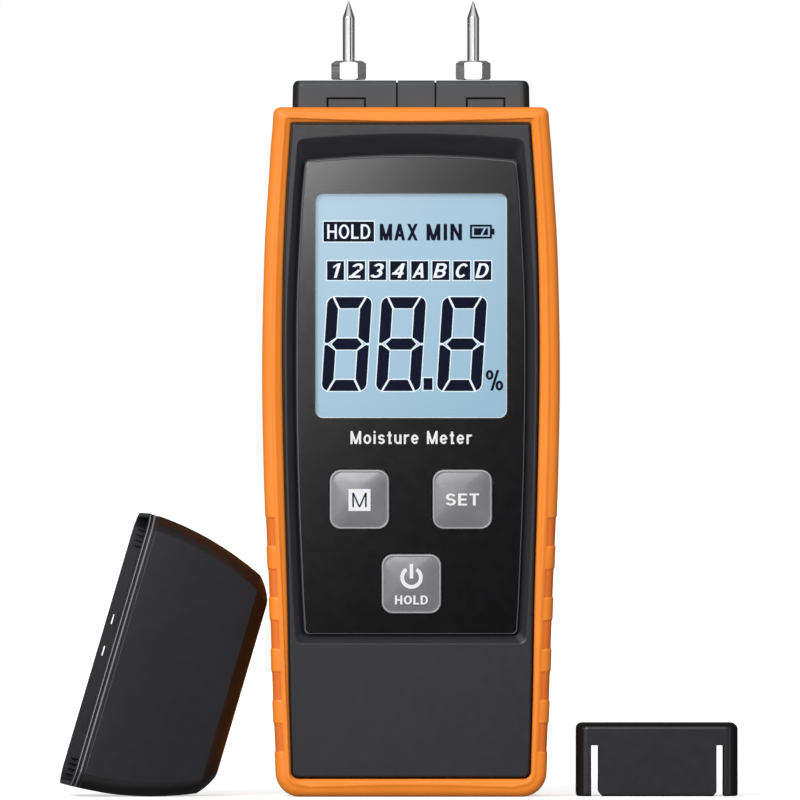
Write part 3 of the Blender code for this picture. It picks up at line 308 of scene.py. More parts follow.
def make_materials():
    """A moulded one is given its roughness, size and depth of grain, mottling and uneven gloss."""
    display_material()
    clear_window()
    circuit_board()
    cell_wrap()
    moulded("orange_rubber", (0.95, 0.255, 0.016), 0.52, 0.22, 0.005, 0.04, 0.03)
    # Grip rubber: rougher, and darker as painted shade in the notches.
    moulded("orange_grip_painted_shade", (0.80, 0.165, 0.009), 0.62, 0.16, 0.012, 0.05)
    moulded("case_plastic", (0.0125, 0.0122, 0.0150), 0.44, 0.20, 0.005, 0.05, 0.025)
    moulded("block_plastic", (0.062, 0.066, 0.071), 0.48, 0.20, 0.005, 0.05, 0.02,
            Specular_IOR_Level=0.3)
    # Darker plastic for the terminal block's rounded ends: painted shade.
    moulded("block_end_painted_shade", (0.010, 0.010, 0.012), 0.36, 0.20, 0.003, 0.05)
    moulded("panel_film", (0.0025, 0.0025, 0.0033), 0.21, 0.5, 0.0002, 0.10, 0.01)
    # Lighter grey for the film's bevelled edge: a painted highlight.
    moulded("film_edge_painted_highlight", (0.13, 0.13, 0.135), 0.40, 0.3, 0.0008, 0.10)
    moulded("lcd_halo", (0.80, 0.90, 0.96), 0.35, 0.3, 0.0004, 0.02,
            Emission_Color=(0.80, 0.92, 1.0, 1.0), Emission_Strength=0.25)
    moulded("lcd_segment", (0.004, 0.006, 0.024), 0.45, 0.3, 0.0004, 0.15, Specular_IOR_Level=0.06)
    moulded("white_print", (0.83, 0.83, 0.84), 0.45, 0.15, 0.001, 0.02)
    moulded("key_face", (0.188, 0.188, 0.196), 0.26, 0.35, 0.0008, 0.05, 0.03, Specular_IOR_Level=1.0)
    # Lighter grey for the keys' rim band: a painted highlight on the chamfer.
    moulded("key_rim_painted_highlight", (0.50, 0.50, 0.51), 0.22, 0.35, 0.0008, 0.04, 0.03)
    moulded("cap_plastic", (0.0195, 0.0190, 0.0225), 0.36, 0.20, 0.003, 0.06, 0.02)
    # Light grey for the crests of the cap's lip: a painted highlight.
    moulded("cap_crest_painted_highlight", (0.20, 0.20, 0.205), 0.30, 0.20, 0.002, 0.06)
    # Darker plastic for the cap's faces that turn away from the front: painted shade.
    moulded("cap_side_painted_shade", (0.0075, 0.0065, 0.0065), 0.30, 0.20, 0.002, 0.06, 0.02)
    # Darker plastic for the guard's sides and rounded edges: painted shade.
    moulded("guard_side_painted_shade", (0.0085, 0.008, 0.009), 0.45, 0.20, 0.002, 0.06, 0.02,
            Specular_IOR_Level=0.12)
    # Near black for the floors of the block's latch windows and seams: painted shade.
    moulded("gap_painted_shade", (0.003, 0.003, 0.003), 0.8, 0.20, 0.003, 0.05)
    moulded("label_film", (0.46, 0.46, 0.47), 0.38, 0.6, 0.0008, 0.03)
    moulded("open_cell_foam", (0.035, 0.035, 0.037), 0.88, 0.5, 0.12, 0.20)
    moulded("chip_resin", (0.018, 0.018, 0.019), 0.45, 0.15, 0.002)
    moulded("diffuser_plastic", (0.82, 0.85, 0.90), 0.40, 0.4, 0.002, 0.02)
    moulded("frame_plastic", (0.72, 0.72, 0.70), 0.45, 0.3, 0.003, 0.03)
    moulded("elastomer", (0.50, 0.52, 0.55), 0.65, 0.2, 0.003, 0.08)
    moulded("lead_red", (0.50, 0.025, 0.02), 0.40, 0.3, 0.002)
    moulded("lead_black", (0.02, 0.02, 0.02), 0.40, 0.3, 0.002)
    machined("pin_steel", (0.88, 0.88, 0.89), 0.10, "Z")
    machined("collar_nickel", (0.93, 0.93, 0.94), 0.45, "Z", 0.2, 0.0)
    machined("stud_brass", (0.78, 0.58, 0.27), 0.25, "Z")
    machined("plated_spring_steel", (0.68, 0.68, 0.69), 0.24, "X")
    machined("screw_black_oxide", (0.16, 0.16, 0.17), 0.32, "Y")
    machined("cell_copper_band", (0.80, 0.46, 0.22), 0.28, "Z")
    machined("can_metal", (0.70, 0.70, 0.71), 0.25, "Z")


make_materials()


# ---------------------------------------------------------------- mesh helpers
def linked(name, data):
    made = bpy.data.objects.new(name, data)
    bpy.context.scene.collection.objects.link(made)
    return made


def mesh_object(name, bm, mats=()):
    mesh = bpy.data.meshes.new(name)
    bm.to_mesh(mesh)
    bm.free()
    for key in mats:
        mesh.materials.append(MATS[key])
    return linked(name, mesh)


def shade(target, angle):
    """Smooth shading, with the edges over an angle kept sharp."""
    target.data.shade_smooth()
    target.data.set_sharp_from_angle(angle=math.radians(angle))


def place(made, body, nodes, slot):
    """Lets an object ride on a body and hides the nodes it stands in for; slot is not used."""
    if body:
        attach(made, body)
    if nodes:
        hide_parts(*nodes)


def finished(name, bm, mats=("case_plastic",), body=None, nodes=(), slot=None):
    """Makes an object from a bmesh; with a body it rides on that body."""
    bmesh.ops.recalc_face_normals(bm, faces=bm.faces)
    made = mesh_object(name, bm, mats)
    shade(made, 32.0)
    place(made, body, nodes, slot)
    return made


def add_loft(bm, rings, close_ends=True, indices=None):
    """Skins rings of equal length, given in millimetres; indices gives each band's material."""
    loops = [[bm.verts.new([value * MM for value in point]) for point in ring] for ring in rings]
    count = len(loops[0])
    for band, (lower, upper) in enumerate(zip(loops, loops[1:])):
        for i in range(count):
            j = (i + 1) % count
            face = bm.faces.new((lower[i], lower[j], upper[j], upper[i]))
            face.material_index = indices[band] if indices else 0
    if close_ends:
        bm.faces.new(loops[0])
        bm.faces.new(loops[-1])


def loft_mesh(rings, close_ends=True, indices=None):
    bm = bmesh.new()
    add_loft(bm, rings, close_ends, indices)
    return bm


def weld(bm):
    bmesh.ops.remove_doubles(bm, verts=bm.verts, dist=0.001 * MM)


def apply_modifiers(target):
    graph = bpy.context.evaluated_depsgraph_get()
    mesh = bpy.data.meshes.new_from_object(target.evaluated_get(graph))
    target.modifiers.clear()
    target.data = mesh


def boolean(target, cutters, operation="DIFFERENCE"):
    """Applies Booleans with throwaway helpers, and removes the helpers."""
    for cutter in cutters:
        modifier = target.modifiers.new("cut", "BOOLEAN")
        modifier.operation = operation
        modifier.solver = "EXACT"
        modifier.object = cutter
    apply_modifiers(target)
    for cutter in cutters:
        bpy.data.objects.remove(cutter)


def soften(target, width, segments=3, angle=35.0):
    """Rounds the sharp edges and keeps flat faces flat."""
    modifier = target.modifiers.new("rounding", "BEVEL")
    modifier.width = width * MM
    modifier.segments = segments
    modifier.limit_method = "ANGLE"
    modifier.angle_limit = math.radians(angle)
    modifier.use_clamp_overlap = True
    modifier.harden_normals = True
    target.data.shade_smooth()
    apply_modifiers(target)
    shade(target, 38.0)


def even_shading(target, angle=34.0):
    """Smooth shading in which large flat faces stay flat beside their rounded edges."""
    shade(target, angle)
    modifier = target.modifiers.new("even_shading", "WEIGHTED_NORMAL")
    modifier.weight = 90
    modifier.keep_sharp = True


def at_depth(outline, y):
    return [(x, y, z) for x, z in outline]


def at_height(outline, z):
    return [(x, y, z) for x, y in outline]


def plates(name, outlines, y_front, thick, material, body=None, slot=None):
    """Thin flat plates in one mesh, in turn on slightly different levels so that they can cross."""
    bm = bmesh.new()
    for index, outline in enumerate(outlines):
        front = y_front - LAYER * (index % LAYERS)
        add_loft(bm, [at_depth(outline, front), at_depth(outline, y_front + thick)])
    return finished(name, bm, (material,), body=body, slot=slot)


def prism_y(name, outline, y_low, y_high, mats=("case_plastic",)):
    return finished(name, loft_mesh([at_depth(outline, y_low), at_depth(outline, y_high)]), mats)


def prism_z(name, outline, z_low, z_high, mats=("case_plastic",)):
    return finished(name, loft_mesh([at_height(outline, z_low), at_height(outline, z_high)]), mats)


def cuboid(name, low, high, mats=("case_plastic",)):
    low, high = (Vector([value * MM for value in corner]) for corner in (low, high))
    size, centre = high - low, (high + low) / 2
    bm = bmesh.new()
    bmesh.ops.create_cube(bm, size=1.0, matrix=Matrix.Translation(centre) @ Matrix.Diagonal((*size, 1.0)))
    return finished(name, bm, mats)


def turned(name, profile, origin, direction, mats=("case_plastic",), segments=48, indices=None, **placing):
    """A solid of revolution; the profile holds radii and distances along the direction."""
    turn = Vector((0, 0, 1)).rotation_difference(Vector(direction)).to_matrix().to_4x4()
    spot = Matrix.Translation(origin) @ turn
    angles = [2 * math.pi * i / segments for i in range(segments)]
    rings = [[spot @ Vector((radius * math.cos(a), radius * math.sin(a), along)) for a in angles]
             for radius, along in profile]
    return finished(name, loft_mesh(rings, True, indices), mats, **placing)


def rod(name, radius, start, end, segments=32):
    reach = Vector(end) - Vector(start)
    return turned(name, [(radius, 0.0), (radius, reach.length)], start, reach, segments=segments)


def joined(name, parts, mats):
    """Several meshes in one object; each part is given with its place in the material list."""
    bm = bmesh.new()
    for part, index in parts:
        before = len(bm.faces)
        bm.from_mesh(part.data)
        bm.faces.ensure_lookup_table()
        for face in bm.faces[before:]:
            face.material_index = index
        bpy.data.objects.remove(part)
    return mesh_object(name, bm, mats)


# ---------------------------------------------------------------- outlines
def bar(left, low, right, high):
    return [(left, low), (right, low), (right, high), (left, high)]


def arc(centre, radius, start, end, steps):
    angles = [math.radians(start + (end - start) * i / steps) for i in range(steps + 1)]
    return [(centre[0] + radius * math.cos(a), centre[1] + radius * math.sin(a)) for a in angles]


def rounded(centre_x, centre_z, width, height, radius, steps=8):
    outline = []
    for start, side_x, side_z in ((-90, 1, -1), (0, 1, 1), (90, -1, 1), (180, -1, -1)):
        corner = (centre_x + side_x * (width / 2 - radius), centre_z + side_z * (height / 2 - radius))
        outline += arc(corner, radius, start, start + 90, steps)
    return outline


def rounded_box(low, high, radius, grow=0.0):
    """A rounded outline round a box seen from the front, grown on every side."""
    width, height = high[0] - low[0] + 2 * grow, high[2] - low[2] + 2 * grow
    return rounded((low[0] + high[0]) / 2, (low[2] + high[2]) / 2, width, height, radius)


def catmull_rom(before, start, finish, after, t):
    return 0.5 * (2 * start + (finish - before) * t
                  + (2 * before - 5 * start + 4 * finish - after) * t ** 2
                  + (3 * start - before - 3 * finish + after) * t ** 3)


def half_width(stations, height):
    """A smooth half width at a height, through a list of (height, half width)."""
    z = min(max(height, stations[0][0]), stations[-1][0])
    spot = max(i for i in range(len(stations) - 1) if stations[i][0] <= z)
    ends = [stations[max(spot - 1, 0)], stations[spot], stations[spot + 1],
            stations[min(spot + 2, len(stations) - 1)]]
    t = (z - stations[spot][0]) / (stations[spot + 1][0] - stations[spot][0])
    return catmull_rom(*(width for _, width in ends), t)


def barrel(stations, inset, low, high, low_r, high_r, crown=0.0, levels=None):
    """Bowed sides, round corners and a top edge that may be crowned, as (x, z) points."""
    start, end = low + low_r, high - high_r
    foot, edge = (half_width(stations, z) - inset for z in (start, end))
    edge -= high_r
    right = [(foot * s, low) for s in (0.2, 0.4, 0.6, 0.8)]
    right += arc((foot - low_r, start), low_r, -90, 0, 12)
    for share in levels or [i / 48 for i in range(1, 48)]:
        z = start + (end - start) * share
        right.append((half_width(stations, z) - inset, z))
    right += arc((edge, end), high_r, 0, 90, 8)
    right += [(edge * s, high + crown * (1 - s * s)) for s in (0.8, 0.6, 0.4, 0.2)]
    left = [(-x, z) for x, z in reversed(right)]
    return [(0.0, low)] + right + [(0.0, high + crown)] + left


def panel_outline(inset, low_r):
    return barrel(PANEL_EDGE, inset, PANEL_LOW + inset, PANEL_HIGH - inset, low_r, 1.2, CROWN)


def smoothstep(low, high, value):
    t = min(max((value - low) / (high - low), 0.0), 1.0)
    return t * t * (3 - 2 * t)


# ---------------------------------------------------------------- bumper
def grip_share(z):
    """1 inside a grip notch, 0 between them, with a short soft edge."""
    soft = 0.2
    inside = 0.0
    for centre in GRIPS:
        low, high = centre - GRIP_LENGTH / 2, centre + GRIP_LENGTH / 2
        step = smoothstep(low - soft, low + soft, z) * (1 - smoothstep(high - soft, high + soft, z))
        inside = max(inside, step)
    return inside


def side_levels(start, end):
    """Heights along a side as shares: even steps, with extra ones at the notch edges."""
    heights = {start + (end - start) * i / 64 for i in range(1, 64)}
    for centre in GRIPS:
        for edge in (centre - GRIP_LENGTH / 2, centre + GRIP_LENGTH / 2):
            for offset in (-0.3, -0.12, 0.0, 0.12, 0.3):
                z = round(edge + offset, 4)
                heights = {height for height in heights if abs(height - z) > 0.1} | {z}
    return [(z - start) / (end - start) for z in sorted(heights) if start < z < end]


def lip_profile():
    """Half of the bumper's section, from the side face over the ridge and round the lip's inner edge.

    Each entry is (from outside, from inside, depth): a distance in from the outer edge or out
    from the inner edge, whichever is given, and the depth behind the highest line of the lip.
    """
    quarter = [math.radians(a) for a in range(0, 91, 10)]
    side = [(1.9 * (1 - math.cos(a)), None, 0.28 + 1.75 * (1 - math.sin(a))) for a in quarter]
    ridge = [(2.1, None, 0.17), (2.35, None, 0.05), (2.6, None, 0.0), (2.8, None, 0.04)]
    slope = [(None, 1.02, 0.28), (None, 0.58, 0.45), (None, 0.3, 0.58), (None, 0.12, 0.78), (None, 0.0, 1.05)]
    return side + ridge + slope + [(None, 0.0, 1.98), (BUMPER_WALL, None, 1.98)]


def pressed_in(inward, y, depth):
    """A point of the bumper's section, moved in by a grip notch: sideways at the side, back on the face."""
    if inward >= BUMPER_WALL:
        return inward, y
    fade = smoothstep(2.0, 1.7, inward) if y < 0 else smoothstep(1.2, 0.6, inward)
    facing = smoothstep(0.0, 1.9, inward)
    return inward + depth * fade * (1 - facing), y - math.copysign(depth * fade * facing, y)


def make_bumper():
    corner_low, corner_high = 5.0, 1.5
    levels = side_levels(corner_low, BODY_TOP - corner_high)
    outer = barrel(RIM_OUTSIDE, 0.0, 0.0, BODY_TOP, corner_low, corner_high, 0.0, levels)
    inner = barrel(RIM_INSIDE, 0.0, LIP_BOTTOM, LIP_TOP, 1.5, 0.5, 0.0, levels)
    front, back = ([(out, into, side * (HALF_DEPTH - deep)) for out, into, deep in lip_profile()]
                   for side in (-1, 1))
    section = front[::-1] + [(0.0, None, y) for y in (-10, -6, -2, 2, 6, 10)] + back
    rings = [[] for _ in section]
    for (outer_x, outer_z), (inner_x, inner_z) in zip(outer, inner):
        across = Vector((inner_x - outer_x, inner_z - outer_z))
        width = across.length
        across.normalize()
        notch = grip_share(outer_z) if abs(outer_x) > 20 else 0.0
        for ring, (out, into, y) in zip(rings, section):
            inward = out if out is not None else width - into
            inward, y = pressed_in(inward, y, notch * GRIP_DEPTH)
            ring.append((outer_x + across.x * inward, y, outer_z + across.y * inward))
    bm = loft_mesh(rings + [rings[0]], False)
    weld(bm)
    # Faces on the outer band of a notch get the grip rubber, whose darker colour is painted shade.
    for face in bm.faces:
        x, y, z = face.calc_center_median() / MM
        if half_width(RIM_OUTSIDE, z) - abs(x) < 1.75 and abs(y) > 9 and grip_share(z) > 0.6:
            face.material_index = 1
    bumper = finished("bumper_shell", bm, ("orange_rubber", "orange_grip_painted_shade"))
    hole = rounded(0.0, 0.0, 2 * (BLOCK[1].x + GAP), 2 * (BLOCK[1].y + GAP), 2.3)
    boolean(bumper, [prism_z("top_hole", hole, BODY_TOP - 8, BODY_TOP + 7)])
    shade(bumper, 40.0)
    place(bumper, "case", ["bumper"], "bumper_rubber")


# ---------------------------------------------------------------- housings
def half_case(name, side):
    """One half of the case, front (-1) or rear (1): a tray with the land that fills the bumper's opening."""
    inset = BUMPER_WALL + GAP
    tray = barrel(RIM_OUTSIDE, inset, inset, BODY_TOP - inset, 2.7, 1.0)
    made = prism_y(name, tray, side * GAP / 2, side * (HALF_DEPTH - inset))
    clear = 0.34
    rings = []
    for inward, y in ((0.0, IN_WALL), (0.0, CASE_Y - 0.35), (0.1, CASE_Y - 0.1), (0.35, CASE_Y)):
        shrink, less_r = clear + inward, inward / 2
        ring = barrel(RIM_INSIDE, shrink, LIP_BOTTOM + shrink, LIP_TOP - shrink, 1.2 - less_r, 0.5 - less_r)
        rings.append(at_depth(ring, side * y))
    boolean(made, [finished(f"{name}_land", loft_mesh(rings))], "UNION")
    cavity = barrel(RIM_OUTSIDE, 4.8, 4.6, 133.2, 1.0, 1.0)
    boolean(made, [prism_y(f"{name}_cavity", cavity, side * -2, side * 10)])
    return made


def key_holes(name, back):
    """Cutters for the keys' holes, from in front of the case to a depth."""
    size = KEY_SIZE + 1.4 * GAP
    return [prism_y(f"{key}_{name}", rounded(x, z, size, size, KEY_R + GAP), IN_FRONT, back)
            for key, (x, z) in KEYS.items()]


def make_front_housing():
    housing = half_case("front_case", -1)
    edge = barrel(RECESS_EDGE, 0.0, RECESS_LOW, RECESS_HIGH, 1.5, 1.5, CROWN)
    floor = panel_outline(-0.6 * GAP, 1.2)
    # Shares of the way from the recess's edge to its floor, and depths behind the case's front.
    steps = [(-0.22, -1.0), (-0.18, 0.0), (-0.10, 0.05), (0.0, 0.16), (0.12, 0.32), (0.92, 1.36), (1.0, 1.5)]
    rings = []
    for share, deep in steps:
        ring = [Vector(start).lerp(Vector(end), share) for start, end in zip(edge, floor)]
        rings.append(at_depth(ring, deep - CASE_Y))
    inside = -9.0
    lcd_hole = bar(LCD[0].x - GAP, LCD[0].z - GAP, LCD[1].x + GAP, LCD[1].z + GAP)
    cutters = [finished("recess", loft_mesh(rings)), prism_y("lcd_hole", lcd_hole, IN_FRONT, inside)]
    boolean(housing, cutters + key_holes("hole", inside))
    even_shading(housing, 28.0)
    place(housing, "case", ["front_housing"], "housing_plastic")


def make_rear_housing():
    housing = half_case("rear_case", 1)
    wall = Vector((POCKET_WALL, POCKET_WALL, POCKET_WALL))
    pocket_high = POCKET_HIGH + wall
    pocket_high.y = IN_WALL
    unions = [cuboid("pocket", POCKET_LOW - wall, pocket_high)]
    for name, (x, z) in SCREWS.items():
        unions.append(rod(f"boss_{name}", 3.8, (x, 0.2, z), (x, IN_WALL, z)))
    boolean(housing, unions, "UNION")
    seat = rounded_box((-DOOR[1].x, 0.0, DOOR_LOW), DOOR[1], 1.2, 0.25)
    notch = rounded(0.0, DOOR[1].z + 1.2, 14.0, 5.0, 1.4)
    cutters = [cuboid("pocket_inside", POCKET_LOW, POCKET_HIGH),
               prism_y("door_seat", seat, CASE_Y - 2.3, BEHIND),
               prism_y("thumb_notch", notch, CASE_Y - 1.2, BEHIND),
               prism_y("label_seat", rounded_box(*LABEL, 1.4, GAP / 2), CASE_Y - 0.5, BEHIND)]
    cutters += [cuboid(f"hook_slot_{x}", (x - 3.3, 10.7, 8.6), (x + 3.3, 12.5, 11.2)) for x in HOOKS]
    bore = [(2.8, 0.0), (2.8, 4.5), (3.0, 4.7), (3.0, 9.0)]
    for name, (x, z) in SCREWS.items():
        cutters.append(rod(f"hole_{name}", 1.5, (x, -1.0, z), (x, BEHIND, z)))
        cutters.append(turned(f"bore_{name}", bore, (x, 8.7, z), (0, 1, 0)))
    boolean(housing, cutters)
    soften(housing, 0.12, 2, 40.0)
    even_shading(housing)
    place(housing, "case", ["rear_housing"], "housing_plastic")


def make_battery_door():
    """The door's leaf with its two hooks, five grip grooves and an arrow, and the foam inside it."""
    inner = CASE_Y - 2.0
    leaf = rounded_box((-DOOR[1].x, 0.0, DOOR_LOW), DOOR[1], 1.0)
    door = prism_y("battery_cover", leaf, inner, CASE_Y)
    low, high = DOOR_LOW - 1.2, DOOR_LOW + 1.0
    hooks = [cuboid(f"hook_{x}", (x - 3.0, inner, low), (x + 3.0, inner + 0.8, high)) for x in HOOKS]
    boolean(door, hooks, "UNION")
    grooves = []
    for index in range(5):
        groove = rounded(0.0, DOOR[1].z - 5.5 - index * 2.2, 14.0, 1.0, 0.45)
        grooves.append(prism_y(f"groove_{index}", groove, CASE_Y - 0.5, BEHIND))
    grooves.append(prism_y("arrow", [(-2.4, 49.6), (0.0, 46.6), (2.4, 49.6)], CASE_Y - 0.35, BEHIND))
    boolean(door, grooves)
    soften(door, 0.18, 3, 40.0)
    even_shading(door)
    place(door, "battery_door", ["battery_door"], "housing_plastic")
    foam = cuboid("foam_strip", *box_mm("foam_pad"), ("open_cell_foam",))
    soften(foam, 0.2)
    place(foam, "battery_door", ["foam_pad"], "foam")


def frame_bars(low, high, thick):
    """Four thin bars round a rectangle."""
    (x0, z0), (x1, z1) = low, high
    return [bar(x0, z0, x1, z0 + thick), bar(x0, z1 - thick, x1, z1),
            bar(x0, z0 + thick, x0 + thick, z1 - thick), bar(x1 - thick, z0 + thick, x1, z1 - thick)]


def make_label():
    film = prism_y("blank_label", rounded_box(*LABEL, 1.2), LABEL[0].y, LABEL[1].y, ("label_film",))
    place(film, "case", ["rear_label"], "label_paper")
    margin = 1.2
    (x0, _, z0), (x1, _, z1) = LABEL
    centre_z = (z0 + z1) / 2
    rules = frame_bars((x0 + margin, z0 + margin), (x1 - margin, z1 - margin), 0.3)
    rules += [bar(-15.5, centre_z + up, 15.5, centre_z + up + 0.25) for up in (8, 0, -8)]
    front = LABEL[1].y + 0.01 - INK_THICK
    plates("label_rules", rules, front, INK_THICK, "lcd_segment", "case", "label_paper")


def make_screws():
    """Case screws: the shank, a domed head and a cross slot."""
    profile = [(1.0, 0.0), (1.1, 0.6), (1.1, 15.0), (2.2, 15.0), (2.4, 15.2), (2.4, 15.9), (2.3, 16.4),
               (2.0, 16.7), (1.0, 16.86), (0.05, 16.88)]
    arm, half = 1.35, 0.26
    for name, (x, z) in SCREWS.items():
        screw = turned(f"case_screw_head_{name}", profile, (x, -6.0, z), (0, 1, 0), ("screw_black_oxide",))
        boolean(screw, [cuboid(f"cross_{name}_{a}", (x - a, 10.0, z - b), (x + a, 13.0, z + b))
                        for a, b in ((arm, half), (half, arm))])
        soften(screw, 0.05, 2, 40.0)
        place(screw, "case", [f"case_screw_{name}"], "screw_steel")


# ---------------------------------------------------------------- panel and display
def make_panel():
    face = PANEL[0].y
    steps = ((0.0, PANEL[1].y), (0.0, face + 0.18), (0.16, face + 0.04), (0.30, face))
    rings = [at_depth(panel_outline(inward, 1.0), y) for inward, y in steps]
    # The bevel band (material 1) is a lighter grey: a painted highlight along the film's edge.
    panel = finished("control_panel_film", loft_mesh(rings, True, [0, 1, 0]), ("panel_film", "film_edge_painted_highlight"))
    inside = -11.0
    hole = rounded_box(*WINDOW, 1.6, GAP)
    boolean(panel, [prism_y("window_hole", hole, IN_FRONT, inside)] + key_holes("film_hole", inside))
    even_shading(panel)
    place(panel, "case", ["overlay_panel"], "panel_gloss")
    lens = rounded_box(*WINDOW, 1.5, 0.2)
    window = prism_y("window_lens", lens, WINDOW[0].y, WINDOW[1].y, ("clear_window",))
    soften(window, 0.12, 2)
    even_shading(window)
    place(window, "case", ["display_window"], "window_clear")


def make_window_edge():
    """The thin light edge round the window, where the film is cut."""
    outer, inner = rounded_box(*WINDOW, 1.6, GAP), rounded_box(*WINDOW, 1.42, 0.125)
    front, back = LCD[0].y - 0.16, LCD[0].y - 0.06
    corners = ((outer, back), (outer, front), (inner, front), (inner, back), (outer, back))
    bm = loft_mesh([at_depth(outline, y) for outline, y in corners], False)
    weld(bm)
    finished("window_edge_line", bm, ("white_print",), body="case", slot="lcd_glass")


def grown(points, by):
    """A convex outline moved outwards by a distance, corners mitred."""
    count = len(points)
    area = sum(points[i - 1][0] * points[i][1] - points[i][0] * points[i - 1][1] for i in range(count))
    sign = 1 if area > 0 else -1
    made = []
    for i in range(count):
        before, here, after = (Vector(points[j % count]) for j in (i - 1, i, i + 1))
        normal_a, normal_b = (Vector((along.y, -along.x)).normalized() * sign
                              for along in (here - before, after - here))
        mitre = normal_a + normal_b
        made.append(tuple(here + mitre * (by / max(0.5, mitre.dot(normal_a)))))
    return made


def digit_segments(left, bottom, width=8.9, height=18.8, thick=2.25, lean=0.064):
    """The seven bars of one leaning digit, as outlines of (x, z) points."""
    half, gap, cut = height / 2, 0.17, 1.35
    inner, side = thick + 2.4 * gap, 0.62 * thick
    level = [(cut + gap / 2, height), (width - cut - gap / 2, height), (width - inner, height - thick),
             (inner, height - thick)]
    centre = [(side, half), (thick + gap, half + thick / 2), (width - thick - gap, half + thick / 2),
              (width - side, half), (width - thick - gap, half - thick / 2), (thick + gap, half - thick / 2)]
    upright = [(0.0, half + 1.6 * gap), (0.0, height - cut), (0.12 * cut, height - 0.60 * cut),
               (0.36 * cut, height - 0.28 * cut), (0.76 * cut, height - 0.06 * cut),
               (thick, height - thick - 0.8 * gap), (thick, half + thick / 2 + 1.4 * gap),
               (0.45 * side, half + 1.1 * gap)]
    strokes = [level, [(x, height - z) for x, z in level], centre]
    for at_right in (False, True):
        mirrored = [(width - x if at_right else x, z) for x, z in upright]
        strokes += [mirrored, [(x, height - z) for x, z in mirrored]]
    return [[(left + x + lean * z, bottom + z) for x, z in stroke] for stroke in strokes]


def slant(foot, head, wide, low=0.0, high=1.0):
    return [(foot, low), (foot + wide, low), (head + wide, high), (head, high)]


def bowl(centre_x, centre_z, across, tall, start, end, stem):
    """A curved stroke: part of an ellipse, stem wide at its sides and thinner at top and bottom."""
    angles = [math.radians(start + (end - start) * i / 16) for i in range(17)]
    outer = [(centre_x + across * math.cos(a), centre_z + tall * math.sin(a)) for a in angles]
    inner = [(centre_x + (across - stem) * math.cos(a), centre_z + (tall - 0.85 * stem) * math.sin(a))
             for a in reversed(angles)]
    return outer + inner


def oval(centre_x, centre_z, across, tall, stem):
    return [bowl(centre_x, centre_z, across, tall, start, start + 180, stem) for start in (0, 180)]


